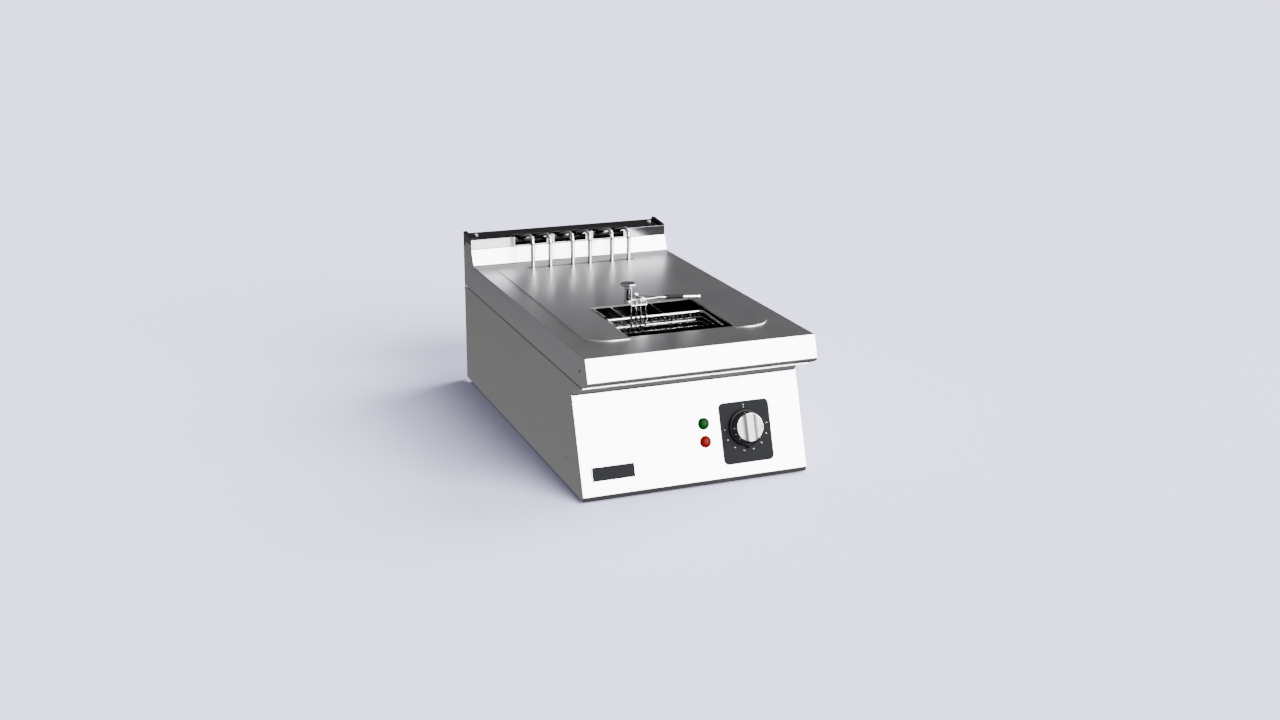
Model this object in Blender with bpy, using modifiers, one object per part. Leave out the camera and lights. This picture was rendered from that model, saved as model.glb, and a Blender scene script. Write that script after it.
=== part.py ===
"""Countertop electric deep fryer, 400 mm wide module, as an assembly of separate pieces.

Frame: +Z up, the front panel faces -Y, origin at the bottom centre of the whole object.
Inside this file a place is (x, d, h) in millimetres: x from the middle plane, d behind the
worktop's front edge, and h above the bottom edge of the casing. place() turns it to metres.
"""

import math

import bmesh
import bpy
from mathutils import Matrix, Vector

MM = 0.001
GAP = 0.3  # left between pieces that touch

# Driving dimensions, mm
HALF_WIDTH = 200.0
NOSE = 13.2  # how far the worktop's front edge leans out below its top corner
DEPTH_BACK = 702.4  # worktop front edge to the back of the casing
TOP = 242.6  # worktop surface
SEAM = 190.0  # where the worktop skirt meets the casing side
SEAM_GAP = 1.3
FOOT = 5.0
SHEET = 1.5
SIDE_SHEET = 1.2

# Leaning control panel
PANEL_FOOT = (9.3, 6.6)
PANEL_HEAD = (63.2, 162.7)
PANEL_HEM = (12.0, -2.0)

# Raised plate on the worktop, well opening and element slot
PLATE_HALF = 166.5
PLATE_FRONT = 76.0
PLATE_BACK = 610.0
PLATE_RADIUS = 45.0
PLATE_RISE = 1.5
CORNER_STEPS = 10
WELL_HALF = 94.7
WELL_FRONT = 88.3
WELL_BACK = 273.0
SLOT_HALF = 109.5
SLOT_D = 581.0
SLOT_WIDE = 10.6

# Upstand and flue at the back
RISER_FOOT = (632.3, TOP + 1.0)
RISER_LEAN = math.radians(26.8)
BAND_LOW = 272.3
BAND_HIGH = 290.2
COVER_FRONT = 649.4
WINDOW_HALF = 32.5  # each pair of tubes passes through a window this far to either side
CHEEK_TOP = 279.5

# Heating elements
TUBE = 4.0
PAIR_PITCH = 80.0
LEG_HALF = 17.4
BEND = 15.0
CHANNEL_LEG = 182.0  # height of the legs where they run forward under the worktop

# Oil tank
TANK_HALF = 120.0
TANK_TOP = TOP - SHEET - GAP
TANK_FRONT = 84.0
TANK_FLOOR = 88.0
TANK_REAR = 612.0

# Basket
ROD = 2.3
RIM_HALF = 89.0
RIM_FRONT = 100.0
RIM_BACK = 205.0
RIM_H = 238.8
RIM_FRONT_H = 235.6  # the rim slopes down to the front
BASKET_FLOOR = 120.1
PIVOT_X = -31.0
PIVOT_D = 201.0
PIVOT_H = 275.0
HANDLE_REACH = 114.0
BRACKET_WIRE = 1.4
HANDLE_DROOP = math.radians(4.0)

# Controls on the panel, (x, distance up the panel from its lower corner)
KNOB_AT = (96.0, 79.0)
PLATE_AT = (96.4, 72.0)
GREEN_AT = (21.5, 93.9)
RED_AT = (21.5, 63.9)
NAME_AT = (-144.5, 34.8)

MID_DEPTH = (DEPTH_BACK - NOSE) / 2


def place(x, d, h):
    """A point given in millimetres as a world position in metres."""
    return Vector((x, d - MID_DEPTH, h + FOOT)) * MM


def frame(origin, across, upward):
    """A matrix whose local X is across, local Y is upward and local Z their cross product."""
    third = across.cross(upward)
    turn = Matrix((across, upward, third)).transposed().to_4x4()
    return Matrix.Translation(origin) @ turn


def side_frame(x):
    """Local X runs back, local Y runs up: for outlines drawn as (d, h) on the plane at x."""
    return frame(place(x, 0, 0), Vector((0, 1, 0)), Vector((0, 0, 1)))


def level_frame(h):
    """Local X is across and local Y runs back: for outlines drawn as (x, d) at the height h."""
    return frame(place(0, 0, h), Vector((1, 0, 0)), Vector((0, 1, 0)))


PANEL_LEAN = math.atan2(PANEL_HEAD[0] - PANEL_FOOT[0], PANEL_HEAD[1] - PANEL_FOOT[1])
PANEL_UP = Vector((0, math.sin(PANEL_LEAN), math.cos(PANEL_LEAN)))


def panel_frame(x, s, out=0.0):
    """On the panel's face, s up from its lower corner and out in front of it; local Z faces out."""
    corner = place(x, PANEL_FOOT[0], PANEL_FOOT[1])
    outward = Vector((1, 0, 0)).cross(PANEL_UP)
    return frame(corner + (PANEL_UP * s + outward * out) * MM, Vector((1, 0, 0)), PANEL_UP)


def rear_frame(x, d, h):
    """Local Z points backwards, for turned pieces on the rear panel."""
    return frame(place(x, d, h), Vector((-1, 0, 0)), Vector((0, 0, 1)))


def upright_frame(x, d, h):
    """Local Z points up, for turned pieces that stand."""
    return Matrix.Translation(place(x, d, h))


def new_collection(name):
    made = bpy.data.collections.new(name)
    bpy.context.scene.collection.children.link(made)
    return made


def clear_scene():
    for old in list(bpy.data.objects):
        bpy.data.objects.remove(old, do_unlink=True)


clear_scene()
PARTS = new_collection("deep_fryer")
CUTTERS = new_collection("cutters")


def finish(name, data, matrix, cutter):
    """Links new data as a part, or as a hidden cutter."""
    made = bpy.data.objects.new(name, data)
    made.matrix_world = matrix
    if cutter:
        made.hide_render = True
        made.display_type = "WIRE"
        CUTTERS.objects.link(made)
    else:
        PARTS.objects.link(made)
    return made


def meshed(curve_object, cutter=False):
    """A curve object turned to a mesh with welded caps, keeping its name and place."""
    name = curve_object.name
    matrix = curve_object.matrix_world.copy()
    bpy.context.view_layer.update()
    evaluated = curve_object.evaluated_get(bpy.context.evaluated_depsgraph_get())
    mesh = bpy.data.meshes.new_from_object(evaluated)
    shape = bmesh.new()
    shape.from_mesh(mesh)
    bmesh.ops.remove_doubles(shape, verts=shape.verts, dist=1e-5)
    bmesh.ops.recalc_face_normals(shape, faces=shape.faces)
    shape.to_mesh(mesh)
    shape.free()
    bpy.data.objects.remove(curve_object, do_unlink=True)
    return finish(name, mesh, matrix, cutter)


def box(name, low, high, cutter=False):
    """A block between two opposite corners given in millimetres."""
    start = place(*low)
    end = place(*high)
    shape = bmesh.new()
    bmesh.ops.create_cube(shape, size=1.0)
    bmesh.ops.scale(shape, vec=end - start, verts=shape.verts)
    mesh = bpy.data.meshes.new(name)
    shape.to_mesh(mesh)
    shape.free()
    return finish(name, mesh, Matrix.Translation((start + end) / 2), cutter)


def flat(name, outlines, thickness, matrix, cutter=False):
    """A flat outline (the first) with holes (the rest), thick along Z and centred on the frame."""
    curve = bpy.data.curves.new(name, "CURVE")
    curve.dimensions = "2D"
    curve.fill_mode = "BOTH"
    curve.extrude = thickness / 2 * MM
    for outline in outlines:
        spline = curve.splines.new("POLY")
        spline.points.add(len(outline) - 1)
        for point, (u, v) in zip(spline.points, outline):
            point.co = (u * MM, v * MM, 0, 1)
        spline.use_cyclic_u = True
    made = finish(name, curve, matrix, cutter)
    return meshed(made, cutter)


def side_profile(name, outline, x_from, x_to, cutter=False):
    """A (d, h) outline carried across from one x to another."""
    middle = (x_from + x_to) / 2
    return flat(name, [outline], abs(x_to - x_from), side_frame(middle), cutter)


def folded(name, points, thickness, x_from, x_to, cutter=False):
    """Sheet folded along an open (d, h) line, its thickness laid to the right of the line."""
    line = [Vector(point) for point in points]
    rights = []
    for start, end in zip(line, line[1:]):
        along = (end - start).normalized()
        rights.append(Vector((along.y, -along.x)))
    inner = [line[0] + rights[0] * thickness]
    for corner, before, after in zip(line[1:], rights, rights[1:]):
        mitre = (before + after) / (1 + before.dot(after))
        inner.append(corner + mitre * thickness)
    inner.append(line[-1] + rights[-1] * thickness)
    return side_profile(name, line + inner[::-1], x_from, x_to, cutter)


def arc(cx, cy, radius, start, end, steps):
    """Points on a circle from one angle to another, in degrees."""
    out = []
    for i in range(steps + 1):
        a = math.radians(start + (end - start) * i / steps)
        out.append((cx + radius * math.cos(a), cy + radius * math.sin(a)))
    return out


def round_rect(left, right, low, high, radius, steps=6):
    """A rectangle with round corners, counter-clockwise."""
    points = []
    corners = ((right, high, 0), (left, high, 90), (left, low, 180), (right, low, 270))
    for x, y, start in corners:
        cx = x - math.copysign(radius, x - (left + right) / 2)
        cy = y - math.copysign(radius, y - (low + high) / 2)
        points += arc(cx, cy, radius, start, start + 90, steps)
    return points


def circle(cx, cy, radius, steps=24):
    return arc(cx, cy, radius, 0, 360 - 360 / steps, steps - 1)


def turned(name, profile, matrix, steps=28, cutter=False):
    """A (radius, height) profile, run down its outer side, turned about the frame's Z."""
    mesh = bpy.data.meshes.new(name)
    points = [(r * MM, 0, z * MM) for r, z in profile]
    edges = [(i, i + 1) for i in range(len(points) - 1)]
    mesh.from_pydata(points, edges, [])
    made = finish(name, mesh, matrix, cutter)
    screw = made.modifiers.new("turn", "SCREW")
    screw.steps = steps
    screw.render_steps = steps
    screw.use_merge_vertices = True
    screw.merge_threshold = 0.00001
    return made


def disc(name, radius, low, high, matrix, steps=28, cutter=False):
    """A plain cylinder between two heights of a frame."""
    profile = [(0, high), (radius, high), (radius, low), (0, low)]
    return turned(name, profile, matrix, steps, cutter)


def rod(name, points, radius, cyclic=False, sides=2, cutter=False):
    """Round wire or tube along points given in millimetres."""
    curve = bpy.data.curves.new(name, "CURVE")
    curve.dimensions = "3D"
    curve.bevel_depth = radius * MM
    curve.bevel_resolution = sides
    curve.use_fill_caps = not cyclic
    spline = curve.splines.new("POLY")
    spline.points.add(len(points) - 1)
    for point, where in zip(spline.points, points):
        point.co = (*place(*where), 1)
    spline.use_cyclic_u = cyclic
    made = finish(name, curve, Matrix.Identity(4), cutter)
    return meshed(made, cutter)


def combine(target, operation, others):
    """Adds one Boolean for each other shape, which stays hidden as a cutter."""
    for other in others:
        step = target.modifiers.new(operation.lower(), "BOOLEAN")
        step.operation = operation
        step.object = other


def rounded(target, width, segments=2):
    """Rolls the sharp edges over."""
    edge = target.modifiers.new("edge", "BEVEL")
    edge.width = width * MM
    edge.segments = segments
    edge.limit_method = "ANGLE"
    edge.angle_limit = math.radians(40)


def paint(target, name, colour, roughness, metallic):
    """A Principled material of the piece's own."""
    look = bpy.data.materials.new(name)
    look.use_nodes = True
    shader = look.node_tree.nodes["Principled BSDF"]
    shader.inputs["Base Color"].default_value = (*colour, 1)
    shader.inputs["Roughness"].default_value = roughness
    shader.inputs["Metallic"].default_value = metallic
    target.data.materials.clear()
    target.data.materials.append(look)


def steel(target):
    paint(target, target.name + "_steel", (0.62, 0.62, 0.63), 0.28, 1.0)


def chrome(target):
    paint(target, target.name + "_bright_steel", (0.8, 0.8, 0.8), 0.08, 1.0)


def galvanised(target):
    paint(target, target.name + "_galvanised", (0.5, 0.51, 0.52), 0.5, 1.0)


def black_enamel(target):
    paint(target, target.name + "_enamel", (0.01, 0.01, 0.01), 0.3, 0.0)


def plastic(target, colour):
    paint(target, target.name + "_plastic", colour, 0.45, 0.0)


def smooth(target):
    target.data.shade_smooth()
    target.data.set_sharp_from_angle(angle=math.radians(35))


# ---------------------------------------------------------------- worktop and upstand

def make_worktop():
    """One pressed sheet: top with its raised plate, folded nose, side skirts and rear cheeks."""
    top = box("worktop", (-HALF_WIDTH, 0, TOP - SHEET), (HALF_WIDTH, RISER_FOOT[0] + 2, TOP))
    edge = round_rect(
        -PLATE_HALF, PLATE_HALF, PLATE_FRONT, PLATE_BACK, PLATE_RADIUS, CORNER_STEPS
    )
    front_left = 3 * (CORNER_STEPS + 1)
    side = WELL_HALF + 0.2
    inner = WELL_FRONT + 12.0
    notch = [(-side, PLATE_FRONT), (-side, inner), (side, inner), (side, PLATE_FRONT)]
    edge = edge[:front_left] + notch + edge[front_left:]
    sunk = SHEET / 2
    middle = level_frame(TOP + (PLATE_RISE - sunk) / 2)
    plate = flat("worktop_plate", [edge], PLATE_RISE + sunk, middle, True)
    combine(top, "UNION", [plate])
    well = box(
        "worktop_well", (-WELL_HALF, WELL_FRONT, TOP - 9), (WELL_HALF, WELL_BACK, TOP + 5), True
    )
    rounded(well, 3.0, 3)
    slot_outline = round_rect(
        -SLOT_HALF, SLOT_HALF, SLOT_D - SLOT_WIDE / 2, SLOT_D + SLOT_WIDE / 2, SLOT_WIDE / 2 - 0.01
    )
    slot = flat("worktop_slot", [slot_outline], 20, level_frame(TOP), True)
    combine(top, "DIFFERENCE", [well, slot])

    nose_line = [
        (6.0, TOP), (0.0, TOP), (-NOSE, 205.6), (-NOSE + 0.8, 202.4), (-9.4, 199.4),
        (13.6, SEAM + 0.4), (26.0, SEAM + 0.4),
    ]
    nose = folded("worktop_nose", nose_line[::-1], SHEET, -199.0, 199.0, True)
    riser_run = math.tan(RISER_LEAN)
    cheek_d = RISER_FOOT[0] + 2.3
    cheek_high = cheek_d + (CHEEK_TOP - TOP) * riser_run
    skirt_line = [
        (0.0, TOP), (-NOSE, 205.6), (-NOSE + 0.8, 202.4), (-9.4, 199.4), (13.6, SEAM),
        (DEPTH_BACK, SEAM), (DEPTH_BACK, 269.0), (690.0, 269.0), (690.0, CHEEK_TOP),
        (cheek_high, CHEEK_TOP), (cheek_d, TOP),
    ]
    sides = []
    for tag, sign in (("left", -1), ("right", 1)):
        inner = sign * (HALF_WIDTH - SHEET)
        skirt = side_profile("worktop_skirt_" + tag, skirt_line, inner, sign * HALF_WIDTH, True)
        sides.append(skirt)
    combine(top, "UNION", [nose] + sides)
    holes = []
    for tag, sign in (("left", -1), ("right", 1)):
        spot = side_profile(
            "worktop_hole_" + tag, circle(24.5, 215.5, 2.6, 12), sign * 190, sign * 210, True
        )
        holes.append(spot)
    combine(top, "DIFFERENCE", holes)
    steel(top)


def make_upstand():
    """The leaning face behind the elements, and the grey band with three windows above it."""
    run = math.tan(RISER_LEAN)
    low_d, low_h = RISER_FOOT
    join_h = BAND_LOW - 0.7
    face_line = [(low_d, low_h), (low_d + (join_h - low_h) * run, join_h)]
    face = folded("riser_face", face_line, SHEET, -HALF_WIDTH, HALF_WIDTH)
    steel(face)

    band_d = low_d + (BAND_LOW - low_h) * run + SHEET / 2
    sill = BAND_LOW + 1.6
    half = HALF_WIDTH - 0.2
    outline = [(-half, BAND_LOW), (half, BAND_LOW), (half, BAND_HIGH)]
    for middle in (PAIR_PITCH, 0, -PAIR_PITCH):
        right = middle + WINDOW_HALF
        left = middle - WINDOW_HALF
        outline += [(right, BAND_HIGH), (right, sill), (left, sill), (left, BAND_HIGH)]
    outline.append((-half, BAND_HIGH))
    upright = frame(place(0, band_d, 0), Vector((1, 0, 0)), Vector((0, 0, 1)))
    band = flat("vent_band", [outline], SHEET, upright)
    steel(band)


def make_flue_cover():
    """The black cover over the element heads: a sloping top, a back wall and two raised ends."""
    front = COVER_FRONT
    back_h = 292.6
    plate_line = [
        (front, 287.9), (front, 290.2), (DEPTH_BACK, back_h), (DEPTH_BACK, 270.0),
        (DEPTH_BACK - 3.0, 270.0), (DEPTH_BACK - 3.0, 290.2),
    ]
    cover = side_profile("flue_cover", plate_line, -194.0, 194.0)
    notches = []
    for i, middle in enumerate((-PAIR_PITCH, 0, PAIR_PITCH)):
        low = (middle - WINDOW_HALF, front - 5, 275)
        high = (middle + WINDOW_HALF, 667.3, 300)
        notches.append(box(f"flue_notch_{i}", low, high, True))
    combine(cover, "DIFFERENCE", notches)
    end_line = [
        (front + 0.2, CHEEK_TOP + GAP), (front - 0.8, 292.0), (front + 0.2, 293.4),
        (DEPTH_BACK - 2.0, 297.4), (DEPTH_BACK, 296.5), (DEPTH_BACK, 269.0 + GAP),
        (690.0 + GAP, 269.0 + GAP), (690.0 + GAP, CHEEK_TOP + GAP),
    ]
    ends = []
    for tag, sign in (("left", -1), ("right", 1)):
        cap = side_profile("flue_end_" + tag, end_line, sign * 193.0, sign * HALF_WIDTH, True)
        ends.append(cap)
    combine(cover, "UNION", ends)
    black_enamel(cover)

    slope = math.atan2(back_h - 290.2, DEPTH_BACK - front)
    along = Vector((0, math.cos(slope), math.sin(slope)))
    for tag, sign in (("left", -1), ("right", 1)):
        seat_d = 681.0
        seat_h = 290.2 + (seat_d - front) * math.tan(slope)
        seat = frame(place(sign * 180.0, seat_d, seat_h), Vector((1, 0, 0)), along)
        profile = [(0, 2.6), (2.4, 2.4), (3.8, 1.2), (4.0, 0.35), (0, 0.35)]
        screw = turned("cover_screw_" + tag, profile, seat, 16)
        smooth(screw)
        galvanised(screw)


# ---------------------------------------------------------------- casing

def make_sides():
    """Flat casing sides, each with one countersunk screw near the front."""
    outline = [
        (PANEL_HEM[0] + 2.2, 0.4), (PANEL_FOOT[0] + 2.2, PANEL_FOOT[1] + 0.2),
        (PANEL_HEAD[0] + 2.0, PANEL_HEAD[1] + 0.6), (61.6, 170.4), (13.6, SEAM - SEAM_GAP),
        (DEPTH_BACK, SEAM - SEAM_GAP), (DEPTH_BACK, 0.4),
    ]
    for tag, sign in (("left", -1), ("right", 1)):
        inner = sign * (HALF_WIDTH - SIDE_SHEET)
        panel = side_profile("side_panel_" + tag, outline, inner, sign * HALF_WIDTH)
        hole = side_profile(
            "side_hole_" + tag, circle(91.0, 47.5, 3.4, 16), sign * 190, sign * 210, True
        )
        combine(panel, "DIFFERENCE", [hole])
        steel(panel)
        head = side_profile(
            "side_screw_" + tag, circle(91.0, 47.5, 3.0, 16), inner, sign * (HALF_WIDTH - 0.2)
        )
        galvanised(head)


def make_front_panel():
    """Leaning control panel with a hem at its foot, drilled for the lamps and the spindle."""
    line = [PANEL_HEAD, PANEL_FOOT, PANEL_HEM]
    panel = folded("front_panel", line[::-1], SHEET, -HALF_WIDTH, HALF_WIDTH)
    drills = []
    holes = (("green", GREEN_AT, 6.0), ("red", RED_AT, 6.0), ("knob", KNOB_AT, 5.0))
    for tag, spot, radius in holes:
        seat = panel_frame(spot[0], spot[1])
        drills.append(disc("panel_drill_" + tag, radius, -8, 8, seat, 20, True))
    combine(panel, "DIFFERENCE", drills)
    steel(panel)


def make_front_rail():
    """The soffit that closes the casing under the worktop's overhang."""
    line = [(63.6, 164.0), (62.0, 170.6), (15.0, SEAM - 2.2)]
    rail = folded("front_rail", line, SHEET, -198.4, 198.4)
    steel(rail)


def make_base_and_back():
    """Base plate with cooling slots, and the rear panel with its gland and reset holes."""
    base = box("base_plate", (-198.4, 26.0, 0.0), (198.4, 683.0, SHEET))
    slots = []
    for i in range(5):
        d = 240.0 + 60.0 * i
        outline = round_rect(-70.0, 70.0, d - 4, d + 4, 3.9, 4)
        slots.append(flat(f"base_slot_{i}", [outline], 10, level_frame(0), True))
    combine(base, "DIFFERENCE", slots)
    galvanised(base)

    rear = box("rear_panel", (-198.4, 684.0, SHEET), (198.4, 684.0 + SIDE_SHEET, 266.0))
    gland = disc("rear_gland_hole", 10.5, -10, 10, rear_frame(140.0, 684.6, 42.0), 24, True)
    reset = disc("rear_reset_hole", 4.0, -10, 10, rear_frame(-60.0, 684.6, 62.0), 16, True)
    vents = []
    for i in range(4):
        h = 120.0 + 24.0 * i
        vents.append(box(f"rear_vent_{i}", (-80, 670, h), (80, 700, h + 5), True))
    combine(rear, "DIFFERENCE", [gland, reset] + vents)
    galvanised(rear)


def make_feet():
    """Four low round feet set in from the corners."""
    number = 0
    for d in (70.0, 630.0):
        for x in (-160.0, 160.0):
            number += 1
            profile = [(0, -GAP), (14.0, -GAP), (15.5, -4.0), (14.5, -FOOT), (0, -FOOT)]
            foot = turned(f"foot_{number}", profile, upright_frame(x, d, 0), 24)
            smooth(foot)
            plastic(foot, (0.02, 0.02, 0.02))


# ---------------------------------------------------------------- oil tank and what is in it

def tank_outline(inset, lift):
    """The tank's side view: a deep front well and a shallow channel back to the elements."""
    return [
        (TANK_FRONT + inset, TANK_TOP + lift), (TANK_FRONT + inset, TANK_FLOOR + inset),
        (258.0 - inset, TANK_FLOOR + inset), (300.0 - inset, 164.0 + inset),
        (TANK_REAR - inset, 172.0 + inset), (TANK_REAR - inset, TANK_TOP + lift),
    ]


def make_tank():
    tank = side_profile("oil_tank", tank_outline(0, 0), -TANK_HALF, TANK_HALF)
    inner = TANK_HALF - SHEET
    inside = side_profile("tank_inside", tank_outline(SHEET, 10), -inner, inner, True)
    combine(tank, "DIFFERENCE", [inside])
    steel(tank)


def element_leg():
    """One leg, from its head in the flue down, forward and down again, as (d, h)."""
    slope = math.radians(16.0)
    top_h = 287.4
    run = 66.0
    centre_d = SLOT_D + BEND
    crown = arc(centre_d, top_h, BEND, 90 - math.degrees(slope), 180, 7)
    head_d, head_h = crown[0]
    path = [(head_d + run, head_h - run * math.tan(slope))] + crown
    path += arc(SLOT_D - BEND, CHANNEL_LEG + BEND, BEND, 0, -90, 5)
    path += arc(306.0, CHANNEL_LEG - 20.0, 20.0, 90, 150, 4)
    path += arc(251.0, 132.0, 20.0, -30, -90, 4)
    return path


def make_elements():
    """Three hairpins: each goes down through the slot, forward under the worktop and turns back."""
    turn_d = 121.0
    for i, middle in enumerate((-PAIR_PITCH, 0, PAIR_PITCH)):
        leg = element_leg()
        low_h = leg[-1][1]
        left = [(middle - LEG_HALF, d, h) for d, h in leg]
        right = [(middle + LEG_HALF, d, h) for d, h in reversed(leg)]
        loop = [(x, d, low_h) for x, d in arc(middle, turn_d, LEG_HALF, 180, 360, 8)]
        tube = rod(f"heating_element_{i + 1}", left + loop + right, TUBE, sides=2)
        smooth(tube)
        chrome(tube)


def make_element_heads():
    """The upright plate that the tubes end at, and a ceramic terminal block behind each pair."""
    plate = box("element_plate", (-128, 666.9, 250.0), (128, 668.4, 282.4))
    steel(plate)
    for i, middle in enumerate((-PAIR_PITCH, 0, PAIR_PITCH)):
        block = box(
            f"element_terminal_{i + 1}", (middle - 27, 668.7, 258.0), (middle + 27, 683.5, 280.0)
        )
        rounded(block, 1.5)
        paint(block, block.name + "_ceramic", (0.75, 0.72, 0.66), 0.4, 0.0)


def make_tank_grid():
    """Wire rack over the elements, which the basket stands on."""
    wire = 1.7
    h = 118.1
    half = 84.0
    near, far = 98.0, 226.0
    outline = round_rect(-half, half, near, far, 8.0, 3)
    ring = rod("tank_grid", [(x, d, h) for x, d in outline], wire, cyclic=True, sides=2)
    bars = []
    for i in range(7):
        x = -half + 2 * half * (i + 1) / 8
        bars.append(rod(f"grid_bar_{i}", [(x, near, h), (x, far, h)], wire, sides=2, cutter=True))
    combine(ring, "UNION", bars)
    chrome(ring)


def make_thermostat():
    """Thermostat behind the panel, its sensing bulb in the oil and the capillary between."""
    seat = panel_frame(KNOB_AT[0], KNOB_AT[1])
    deep = panel_frame(KNOB_AT[0], KNOB_AT[1], -19)
    body = flat("thermostat", [round_rect(-19, 19, -17, 17, 3, 3)], 26, deep)
    bush = disc("thermostat_bush", 7.0, -8.0, -4.0, seat, 20, True)
    combine(body, "UNION", [bush])
    plastic(body, (0.08, 0.08, 0.08))

    bulb_x, bulb_h = 40.0, 112.0
    bulb_seat = frame(place(bulb_x, 86.0, bulb_h), Vector((-1, 0, 0)), Vector((0, 0, 1)))
    bulb = turned(
        "thermostat_bulb", [(0, 80), (2.2, 79), (3.1, 76), (3.1, 0.1), (0, 0.1)], bulb_seat, 14
    )
    smooth(bulb)
    chrome(bulb)
    gland_profile = [(0, -0.9), (7.5, -0.9), (7.5, -6), (5, -6.5), (5, -11), (0, -11)]
    shift = Matrix.Translation((0, 0, -(86.0 - TANK_FRONT) * MM + 0.5 * MM))
    gland = turned("bulb_gland", gland_profile, bulb_seat @ shift, 6)
    paint(gland, "bulb_gland_brass", (0.7, 0.5, 0.25), 0.3, 1.0)

    start = place(bulb_x, 72.5, bulb_h)
    middle = seat @ Vector((-30 * MM, 4 * MM, -20 * MM))
    end = seat @ Vector((-19.6 * MM, 0, -20 * MM))
    points = []
    for i in range(17):
        t = i / 16
        knee = start + Vector((0.012, -0.004, -0.002))
        points.append(bezier(start, knee, middle, end, t))
    wire = rod("thermostat_capillary", [unplace(p) for p in points], 0.9, sides=1)
    paint(wire, "thermostat_capillary_copper", (0.72, 0.4, 0.25), 0.3, 1.0)


def bezier(a, b, c, d, t):
    """A point on the cubic curve from a to d, pulled towards b and c."""
    s = 1 - t
    return a * s ** 3 + b * 3 * s * s * t + c * 3 * s * t * t + d * t ** 3


def unplace(point):
    """A world position in metres back in this file's (x, d, h) millimetres."""
    return (point.x / MM, point.y / MM + MID_DEPTH, point.z / MM - FOOT)


def make_electrics():
    """Contactor, terminal block and safety thermostat inside; gland and bonding stud outside."""
    contactor = box("contactor", (-150, 360, SHEET + GAP), (-105, 435, 78))
    rounded(contactor, 2.0)
    plastic(contactor, (0.55, 0.56, 0.55))
    block = box("terminal_block", (100, 600, SHEET + GAP), (165, 630, 34))
    rounded(block, 1.5)
    plastic(block, (0.6, 0.6, 0.58))

    cutout = box("safety_thermostat", (-82, 655, 44), (-38, 683.6, 80))
    bore = disc("cutout_bore", 3.6, -8, 4, rear_frame(-60.0, 683.0, 62.0), 16, True)
    combine(cutout, "DIFFERENCE", [bore])
    plastic(cutout, (0.1, 0.1, 0.1))
    button = disc("reset_button", 3.0, -3.5, 5.0, rear_frame(-60.0, 683.6, 62.0), 16)
    smooth(button)
    plastic(button, (0.5, 0.03, 0.02))

    gland_profile = [
        (0, 15.5), (6.0, 15.5), (8.5, 12.5), (9.5, 8.0), (9.5, 6.0), (13.0, 6.0), (13.0, 1.6),
        (10.0, 1.6), (10.0, -12.0), (0, -12.0),
    ]
    gland = turned("cable_gland", gland_profile, rear_frame(140.0, 684.0, 42.0), 24)
    smooth(gland)
    plastic(gland, (0.03, 0.03, 0.03))
    nut = turned(
        "gland_nut", [(12.2, -GAP), (16.0, -GAP), (16.0, -5.5), (12.2, -5.5), (12.2, -GAP)],
        rear_frame(140.0, 684.0, 42.0), 6,
    )
    plastic(nut, (0.03, 0.03, 0.03))
    stud_profile = [(0, 13), (2.4, 13), (3.0, 12), (3.0, 5.5), (6.0, 5.5), (6.0, 1.6), (0, 1.6)]
    stud = turned("bonding_stud", stud_profile, rear_frame(172.0, 684.0, 42.0), 12)
    paint(stud, "bonding_stud_brass", (0.7, 0.55, 0.3), 0.3, 1.0)


# ---------------------------------------------------------------- controls

def make_lamps():
    """Green and red indicator lamps: a domed lens in front of the panel, its holder behind."""
    dome = [
        (0, 5.0), (4.2, 4.6), (7.6, 3.2), (9.8, 1.1), (10.1, GAP), (5.6, GAP), (5.6, -1.2),
        (0, -1.2),
    ]
    lamps = (("green", GREEN_AT, (0, 0.2, 0.02)), ("red", RED_AT, (0.5, 0.02, 0.01)))
    for tag, spot, colour in lamps:
        seat = panel_frame(spot[0], spot[1])
        lens = turned("lamp_lens_" + tag, dome, seat, 24)
        smooth(lens)
        plastic(lens, colour)
        holder = disc("lamp_holder_" + tag, 6.9, -22.0, -SHEET - GAP, seat, 20)
        smooth(holder)
        plastic(holder, (0.75, 0.75, 0.72))


def make_plates():
    """Black dial plate behind the knob, and a plain nameplate."""
    x, s = PLATE_AT
    outline = round_rect(-45.4, 45.4, -51.4, 51.4, 8.5, 6)
    hole = circle(KNOB_AT[0] - x, KNOB_AT[1] - s, 5.0, 20)
    dial = flat("dial_plate", [outline, hole], 1.0, panel_frame(x, s, GAP + 0.5))
    plastic(dial, (0.02, 0.02, 0.022))
    x, s = NAME_AT
    outline = round_rect(-37.4, 37.4, -12.2, 12.2, 1.0, 2)
    plate = flat("nameplate", [outline], 1.2, panel_frame(x, s, GAP + 0.6))
    plastic(plate, (0.02, 0.02, 0.022))


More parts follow.
